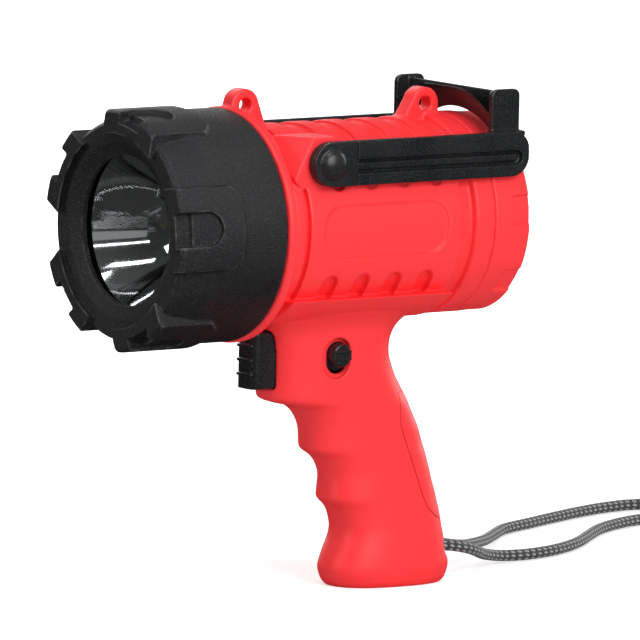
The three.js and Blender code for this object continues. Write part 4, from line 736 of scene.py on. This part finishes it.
def makeHousing():
    h = housing
    bend, barrel, bore, tailEnd = h["flangeRound"], h["barrel"], h["bore"], h["tailEnd"]
    flange, flangeFront, flangeRear = h["flangeRadius"], h["flangeFront"], h["flangeRear"]
    collar, cap, ringFront, panelEnd = h["collar"], h["capRadius"], h["ringFront"], h["panelEnd"]
    slitStart, slitEnd, slit = h["slit"]
    body = turned([
        (0, h["collarFront"]), (collar, h["collarFront"]), (collar, flangeFront),
        (flange - bend, flangeFront), (flange, flangeFront + bend), (flange, flangeRear - bend),
        (flange - bend, flangeRear), (h["grooveRadius"], flangeRear),
        (h["grooveRadius"], h["barrelFront"]), (barrel, h["barrelFront"] + bend), (barrel, slitStart),
        (slit, slitStart), (slit, slitEnd), (barrel, slitEnd), (barrel, panelEnd),
        (h["neck"], panelEnd + bend), (h["neck"], ringFront), (cap - bend, ringFront),
        (cap, ringFront + bend), (cap, h["ringRear"]), (h["tail"], h["ringRear"]), (h["tail"], tailEnd),
        (0, tailEnd),
    ])

    def panelSkin(inner, outer):
        return ring(inner, outer, h["panelStart"], panelEnd)

    low, high, wide = h["panelLow"], h["panelHigh"], h["panelReach"]
    outline = roundRect(panelEnd - h["panelStart"], high - low, h["panelCorner"],
                        ((panelEnd + h["panelStart"]) / 2, (high + low) / 2))
    panels = combine(pushed(outline, -wide, wide), common=[panelSkin(bore, barrel + h["panelProud"])])
    front, rear, low, high, big, small = h["boss"]
    outline = [*arc((front + big, low + big), big, 180, 270),
               *arc((rear - big, low + big), big, 270, 360), *arc((rear - big, high - big), big, 0, 90),
               *arc((front + small, high - small), small, 90, 180)]
    low, high, end = h["bossCone"]
    profile = [(0, low[1]), low, high, (high[0], end), (0, end)]
    bosses = [pushed(outline, *(side * x for x in h["bossReach"])) for side in (1, -1)]
    for boss in bosses:
        combine(boss, common=[turned(profile)])
    across, down, top, start, end = h["sleeve"]
    edge = math.degrees(math.asin(-top / down))
    outline = [(across * x, down * z) for x, z in arc((0, 0), 1, 180 + edge, 360 - edge, 96)]
    combine(body, join=[panels, *bosses, pushed(outline, start, end, "y")])

    # shoulder grooves above and below the panel, then the panel's shallow recess
    reach = barrel * 2
    skin = panelSkin(barrel - h["grooveDepth"], h["skinTop"])
    for (first, pitch, width, end), way in ((h["upperGrooves"], 1), (h["lowerGrooves"], -1)):
        for i in range(h["grooveCount"]):
            shape = slotShape(width, reach, (first + pitch * i, end + way * reach / 2))
            combine(body, cut=[combine(pushed(shape, -reach, reach), common=[copied(skin)])])
    bpy.data.objects.remove(skin)
    width, height, corner, along, up = h["recess"]
    dish = pushed(roundRect(width, height, corner, (along, up)), -wide, wide)
    skin = panelSkin(barrel + h["panelProud"] - h["recessDepth"], h["skinTop"])
    combine(body, cut=[combine(dish, common=[skin])])

    # the grip and the two eyelets, with the openings through the wall
    adds = [gripLoft(0, gripStations[-1][0], grip["rows"], 0, grip["around"])]
    holes = []
    radius, half, foot = h["eyeletRadius"], h["eyeletHalf"], h["eyeletFoot"]
    for along, up, leg, side in h["eyelets"]:
        lean = math.pi / 2 * side * h["eyeletSlope"]
        touch = (along + math.sin(lean) * radius, up + math.cos(lean) * radius)
        outline = [(along - side * radius, up), (along, up), touch, (leg, foot), (leg, foot - radius),
                   (along - side * radius, foot - radius)]
        adds += [pushed(circle((along, up), radius, 48), -half, half), pushed(outline, -half, half)]
        holes.append(pushed(circle((along, up), h["eyeletHole"]), -half * 2, half * 2))
    combine(body, join=adds)
    width, height, corner, up = h["triggerSlot"]
    slot = pushed(roundRect(width, height, corner, (0, up)), h["triggerFront"], h["triggerRear"], "y")
    along, up = h["button"]
    side = lamp["baseLength"] * stationAt(1 + up / lamp["axisHeight"], 3)
    size, drop, outside = h["buttonHole"] * 2, h["buttonDrop"], side + h["buttonReach"]
    buttonHole = pushed(slotShape(size, size + drop, (along, up - drop / 2)), 0, outside)
    width, height, middle, low = h["buttonRecess"]
    well = pushed(slotShape(width, height, (middle, low)), side - h["buttonDepth"], outside)
    width, height, low, start, end = h["heel"]
    heel = pushed(slotShape(width, height, (0, low)), start, end, "y")
    combine(body, cut=[*holes, slot, buttonHole, well, heel])
    soften(body, h["voxel"], 3)

    # the inside, cut after the softening so that its fits stay true
    front = h["collarFront"] - past
    (shelfFront, shelfRear), (wallFront, wallRear) = h["shelf"], h["bulkhead"]
    headBore = turned([
        (0, front), (h["collarInner"], front), (h["collarInner"], shelfFront),
        (h["shelfHole"], shelfFront), (h["shelfHole"], shelfRear), (bore, shelfRear), (bore, wallFront),
        (0, wallFront)])
    rearBore = rod(bore, wallRear, tailEnd + past)
    holes = []
    for name, axis in (("wireHole", "y"), ("duct", "z")):
        height, radius, start, end = h[name]
        holes.append(pushed(circle((0, height), radius), start, end, axis))
    start, half, low, high = h["lips"]
    lips = pushed(box((-half, low), (half, high)), start, h["triggerRear"], "y")
    seat = rod(h["buttonSeat"], 0, side - grip["wall"], 64, (along, up))
    centre, radius, half = h["bar"]
    bar = rod(radius, -half, half, 32, centre)
    centre, radius, low, high = h["pins"]
    pins = [rod(radius, start, end, 32, centre) for start, end in ((low, high), (-high, -low))]
    groove = ring(*h["sealGroove"])
    combine(body, cut=[headBore, rearBore, *holes, makeCavity(), lips, seat, bar, *pins, groove,
                       makeStrapTool(grip["seam"])])
    # a wall inside, behind the strap's seam, so that no light comes through
    bite, ahead, behind = grip["rib"]
    rib = combine(makeCavity(bite), common=[makeStrapTool(ahead)], cut=[makeStrapTool(-behind)])
    combine(body, join=[rib])
    return thinned(body, 0.5)


finishPiece(makeHousing(), redMoulding, "housing", ["main_housing"])

strap = gripLoft(0, gripStations[-1][0], grip["rows"] * 2, 0, grip["around"] * 2)
combine(strap, common=[makeStrapTool(0)], cut=[makeCavity()])
finishPiece(strap, redMoulding, "housing", ["grip_backstrap"])

# Rear cap: a round screw cap with eight finger recesses that are open to the rear
cap = {"radius": 45.1, "front": 170.3, "end": 189.9, "face": 186.9, "inner": 42.9, "round": 1.8,
       "edge": 0.6, "dish": 38.1, "dishDepth": 0.8, "recesses": 8, "tilt": 6, "recessLength": 11,
       "recessWidth": 13, "recessCorner": 3, "recessDepth": 1.6, "reach": 60, "voxel": 0.5}


def makeCap():
    c = cap
    radius, front, end, dish, deep = (c[key] for key in ("radius", "front", "end", "dish", "dishDepth"))
    bend, edge = c["round"], c["edge"]
    body = turned([
        (0, front), (radius - edge, front), (radius, front + edge),
        *arc((radius - bend, end - bend), bend, 0, 90, 8), (dish, end), (dish - deep, end - deep),
        (0, end - deep)])
    outline = roundRect(c["recessWidth"], c["recessLength"] * 2, c["recessCorner"], (0, end))
    skin = ring(radius - c["recessDepth"], c["reach"], front, end + past)
    recess = combine(pushed(outline, 0, c["reach"], "z"), common=[skin])
    combine(body, cut=spread(recess, c["recesses"], c["tilt"]))
    soften(body, c["voxel"], 3)
    return thinned(combine(body, cut=[rod(c["inner"], front - past, c["face"])]), 0.5)


finishPiece(makeCap(), redMoulding, "tail_cap", ["rear_cap"])

# Folding stand: two channelled arms, upright plates and an arched cross piece with a flared lip
stand = {
    "pivot": (79.5, 29.9), "half": 9.9, "inner": 40.9, "outer": 45.1, "end": 188, "lowCorner": 9,
    "topCorner": 8, "sink": 1, "capRear": 93.1, "capProud": 0.9, "dome": (6.7, 3.4),
    "channel": (6.4, 1.5, 184.2, 2.4), "bar": (3, 0.1, 0.5), "capGap": 0.8, "seatReach": (62, -60, 90),
    "plateFront": 172.5, "plateRear": 187.8, "plateInner": 34.7, "plateThickness": 2.5, "plateTop": 58.2,
    "plateCorner": 3, "web": 2.4, "crossFront": 179.3, "crossThickness": 2.5, "arch": 47.2,
    "slabReach": 166, "lip": 57.4, "lipWall": 1.6, "pinHoles": ((38, 46, 3.3), (42.6, 46, 5.3)),
    "capLift": 0.3, "domeSink": 0.5, "voxel": 0.42,
}


def makeArm():
    s = stand
    along, up = s["pivot"]
    half, inner, outer, rear = s["half"], s["inner"], s["outer"], s["end"]
    low, big, small = up - half, s["lowCorner"], s["topCorner"]
    outline = [*arc((along, up), half, 90, 270, 24), *arc((rear - big, low + big), big, 270, 360, 12),
               *arc((rear - small, up + half - small), small, 0, 90, 8)]
    height, drop, end, depth = s["channel"]
    start = s["capRear"] - height
    shape = slotShape(end - start, height, ((end + start) / 2, up - drop))
    channel = pushed(shape, outer - depth, outer + past)
    barHeight, barDrop, barSink = s["bar"]
    end -= (height - barHeight) / 2
    shape = slotShape(end - start, barHeight, ((end + start) / 2, up - drop + barDrop))
    bar = pushed(shape, inner, outer - barSink)
    ahead, low, high = s["seatReach"]
    shape = box((along - ahead, low), (s["capRear"] + s["capGap"], high))
    seat = pushed(shape, outer - s["sink"], outer + past)
    return combine(pushed(outline, inner, outer), cut=[combine(channel, cut=[bar]), seat])


def makeStand():
    s = stand
    front, rear, inner, thick = s["plateFront"], s["plateRear"], s["plateInner"], s["plateThickness"]
    high, corner, arch, lip, wall = s["plateTop"], s["plateCorner"], s["arch"], s["lip"], s["lipWall"]
    top = s["pivot"][1] + s["half"]
    low = top - s["web"]
    arm = makeArm()
    web = pushed(box((inner, low), (s["inner"] + s["sink"], top)), front, rear, "y")
    outline = [(front, low), (rear, low), *arc((rear - corner, high - corner), corner, 0, 90, 8),
               *arc((front + corner, high - corner), corner, 90, 180, 8)]
    combine(arm, join=[web, pushed(outline, inner, inner + thick)])
    between = inner + thick / 2
    crossFront = s["crossFront"]
    crossRear = crossFront + s["crossThickness"]
    space = pushed(box((-between, low), (between, high - corner / 2)), front, crossRear, "y")
    slab = ring(arch, s["slabReach"], crossFront, crossRear)
    flare = turned([(arch, crossRear), (arch, crossFront), (lip, front), (lip + wall, front),
                    (arch + wall, crossRear)])
    cross = combine(slab, join=[flare], common=[space])
    combine(arm, join=[mirrored(arm), cross])
    soften(arm, s["voxel"], 2)
    holes = [rod(radius, start, end, 48, s["pivot"])
             for low, high, radius in s["pinHoles"] for start, end in ((low, high), (-high, -low))]
    return thinned(combine(arm, cut=holes), 0.45)


finishPiece(makeStand(), blackMoulding, "stand", ["stand_frame"])


def makeHingeCap():
    s = stand
    along, up = s["pivot"]
    face = s["outer"] + s["capProud"]
    outline = arc((along, up), s["half"], 90, 270, 24)
    outline += [(s["capRear"], up - s["half"]), (s["capRear"], up + s["half"])]
    plate = pushed(outline, s["outer"] - s["sink"] + s["capLift"], face)
    radius, height = s["dome"]
    low = face - s["domeSink"]
    dome = turned([(0, low), (radius, low), *domeLine(radius, height, face, 20)], 72, (along, up))
    return thinned(soften(combine(plate, join=[dome]), 0.3, 3), 0.5)


leftCap = makeHingeCap()
for piece, side in ((leftCap, "left"), (mirrored(leftCap), "right")):
    finishPiece(piece, blackMoulding, "stand", [f"hinge_cap_{side}"])

# Trigger: a block with rounded corners and three grip ribs across its front
trigger = {"front": 66.4, "rear": 92, "half": 7, "top": -48.4, "bottom": -74.2, "corner": 1.6, "ribs": 3,
           "proud": 1.1, "ribHeight": 1.3, "lip": 1.4, "lipAlong": 81, "lipThickness": 2, "lipInset": 4,
           "spring": (-53.5, 3.3, 8), "voxel": 0.28}


def makeTrigger():
    t = trigger
    front, rear, half, low, top = (t[key] for key in ("front", "rear", "half", "bottom", "top"))
    corner = t["corner"]
    outline = roundRect(half * 2, top - low, corner, (0, (top + low) / 2))
    body = pushed(outline, front, rear, "y")
    plan = roundRect(half * 2, rear - front, corner * 2, (0, (front + rear) / 2))
    combine(body, common=[pushed(plan, low, top, "z")])
    reach = t["proud"] + corner * 2
    outline = roundRect((half - corner) * 2, reach * 2, corner / 2, (0, front - t["proud"] + reach))
    ribs = []
    for i in range(t["ribs"]):
        up = low + (top - low) / (t["ribs"] + 1) * (i + 1)
        ribs.append(pushed(outline, up - t["ribHeight"] / 2, up + t["ribHeight"] / 2, "z"))
    side, inset = half + t["lip"], t["lipInset"]
    lips = pushed(box((-side, low + inset), (side, top - inset)), t["lipAlong"],
                  t["lipAlong"] + t["lipThickness"], "y")
    combine(body, join=[*ribs, lips])
    soften(body, t["voxel"], 3)
    up, radius, deep = t["spring"]
    pocket = pushed(circle((0, up), radius), rear - deep, rear + past, "y")
    return thinned(combine(body, cut=[pocket]), 0.5)


finishPiece(makeTrigger(), blackMoulding, "trigger_body", ["trigger"])

# Lock button: a round button with two ribs, held inside by its flange
button = {"place": (105, -59.2), "radius": 5.3, "proud": 2, "round": 1.2, "flange": 7, "flangeGap": 0.3,
          "flangeThickness": 1.6, "rib": 0.9, "ribProud": 0.6, "ribSink": 1, "ribInset": 0.4,
          "spacing": 3.4, "voxel": 0.2}


def makeButton():
    b = button
    along, up = b["place"]
    side = lamp["baseLength"] * stationAt(1 + up / lamp["axisHeight"], 3)
    radius, bend, face = b["radius"], b["round"], side + b["proud"]
    outer = side - grip["wall"] - b["flangeGap"]
    inner = outer - b["flangeThickness"]
    body = turned([
        (0, inner), (b["flange"], inner), (b["flange"], outer), (radius, outer),
        *arc((radius - bend, face - bend), bend, 0, 90, 7), (0, face)], 72, (along, up))
    ribs = []
    for way in (-1, 1):
        low = up + way * b["spacing"] / 2 - b["rib"] / 2
        rib = pushed(box((along - radius, low), (along + radius, low + b["rib"])),
                     face - b["ribSink"], face + b["ribProud"])
        shaft = rod(radius - b["ribInset"], inner, face + past, 72, (along, up))
        ribs.append(combine(rib, common=[shaft]))
    combine(body, join=ribs)
    return thinned(soften(body, b["voxel"], 3), 0.6)


finishPiece(makeButton(), blackMoulding, "lock_body", ["lock_button"])

# Springs: each is copied from its own mesh and takes a steel finish
springs = {
    # joint, the way it moves, the spring's fixed end and the share of its length that stays
    "trigger_spring": ("trigger_slide", (0, 1, 0), (0, -0.0451, 0.1125), 0.6),
    "lock_spring": ("lock_slide", (1, 0, 0), (0.006, -0.0398, 0.1068), 0.6),
}
for name, (joint, axis, fixedEnd, keep) in springs.items():
    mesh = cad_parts[name].data.copy()
    mesh.transform(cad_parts[name].matrix_world)
    coil = placed(name + "_visual", mesh)
    finishPiece(coil, steel, "housing", [name])
    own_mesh(coil)

# The remaining pieces keep their own meshes and take a finish each
finishes = {
    "lens": clearLens, "lens_gasket": sealRubber, "head_seal": sealRubber, "cap_seal": sealRubber,
    "led_board": board, "front_contact_board": board, "heat_sink": alloy, "battery_carrier": greyMoulding,
    "contact_spring": brass, "cap_contact_plate": brass, "trigger_switch": greyMoulding,
    "switch_frame": greyMoulding, "wire_lamp": wireJacket, "wire_switch": wireJacket,
}
finishes.update({f"battery_cell_{i}": cellJacket for i in (1, 2, 3, 4)})
finishes.update({name: steel for name in (
    "board_screw_1", "board_screw_2", "frame_screw_1", "frame_screw_2", "pivot_pin_left",
    "pivot_pin_right", "lanyard_pin")})
for name, finish in finishes.items():
    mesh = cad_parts[name].data
    mesh.materials.clear()
    mesh.materials.append(finish)

# Room: a plain pale floor, soft lamps and a pale surround
room = {"radius": 14, "edges": 96, "colour": (0.75, 0.75, 0.75, 1), "mirrored": (0.03, 0.03, 0.03, 1),
        "glow": (0.5, 1.0), "reach": (0.3, 1.1), "aim": 0.12, "front": 0.025, "rear": 0.12,
        "turn": (-0.9, 0.1)}
lamps = [
    # azimuth, elevation, distance, size across, size up, power
    ("key", 88, 24, 2.0, 1.4, 1.4, 32),
    ("rear", 188, 14, 2.0, 1.0, 1.0, 14),
    ("right", -103, 20, 2.0, 1.2, 1.2, 17),
    ("fill", -14, 20, 2.0, 0.8, 1.2, 12),
    ("top", 60, 72, 1.8, 0.9, 0.9, 10),
    # narrow strips that draw the bright lines in the polished bowl
    ("low strip", 38, 25, 2.0, 1.4, 0.07, 1.4),
    ("middle strip", 20, 51, 2.0, 1.0, 0.13, 2.0),
    ("high strip", -43, 66, 2.0, 0.22, 0.75, 2.4),
    ("dim card", 46, 13, 2.2, 1.2, 0.4, 0.35),
]


def makeFloor():
    mesh = bpy.data.meshes.new("floor")
    angles = np.linspace(0, 2 * math.pi, room["edges"], endpoint=False)
    edge = [(room["radius"] * math.cos(a), room["radius"] * math.sin(a), 0) for a in angles]
    mesh.from_pydata(edge, [], [tuple(range(room["edges"]))])
    material, tree, shader = newMaterial("paleFloor")
    shader.inputs["Roughness"].default_value = 0.9
    shader.inputs["Base Color"].default_value = room["colour"]
    away = node(tree, "VectorMath", {"operation": "LENGTH"}, i0=node(tree, "TexCoord").outputs["Object"])
    level = smoothStep(tree, away.outputs["Value"], *room["reach"], room["glow"])
    glow = node(tree, "Emission", None, Color=white, Strength=level)
    both = node(tree, "AddShader", None, i0=shader.outputs[0], i1=glow.outputs[0])
    path = node(tree, "LightPath")
    seen = joined(tree, path.outputs["Is Camera Ray"], shader, both)
    dark = node(tree, "BsdfDiffuse", None, Color=room["mirrored"])
    final = joined(tree, path.outputs["Is Glossy Ray"], seen, dark)
    tree.links.new(final.outputs[0], tree.nodes["Material Output"].inputs["Surface"])
    mesh.materials.append(material)
    placed("floor", mesh)


def makeLamps():
    for name, azimuth, elevation, distance, width, height, power in lamps:
        back = outwards(azimuth, elevation)
        data = bpy.data.lights.new(name, "AREA")
        data.shape = "RECTANGLE"
        data.size, data.size_y = width, height
        data.energy = power
        spot = Matrix.Translation(back * distance + Vector((0, 0, room["aim"])))
        placed(name, data).matrix_world = spot @ back.to_track_quat("Z", "Y").to_matrix().to_4x4()


def makeSurround():
    world = bpy.data.worlds.new("surround")
    scene.world = world
    world.use_nodes = True
    tree = world.node_tree
    ground = tree.nodes["Background"]
    parts = node(tree, "SeparateXYZ", None, Vector=node(tree, "TexCoord").outputs["Generated"])
    level = smoothStep(tree, parts.outputs["Y"], *room["turn"], (room["front"], room["rear"]))
    tree.links.new(level, ground.inputs["Strength"])
    ground.inputs["Color"].default_value = white
    pale = node(tree, "Background", None, Color=white, Strength=1.0)
    final = joined(tree, node(tree, "LightPath").outputs["Is Camera Ray"], ground, pale)
    tree.links.new(final.outputs[0], tree.nodes["World Output"].inputs["Surface"])


makeFloor()
makeLamps()
makeSurround()
print("room made", flush=True)
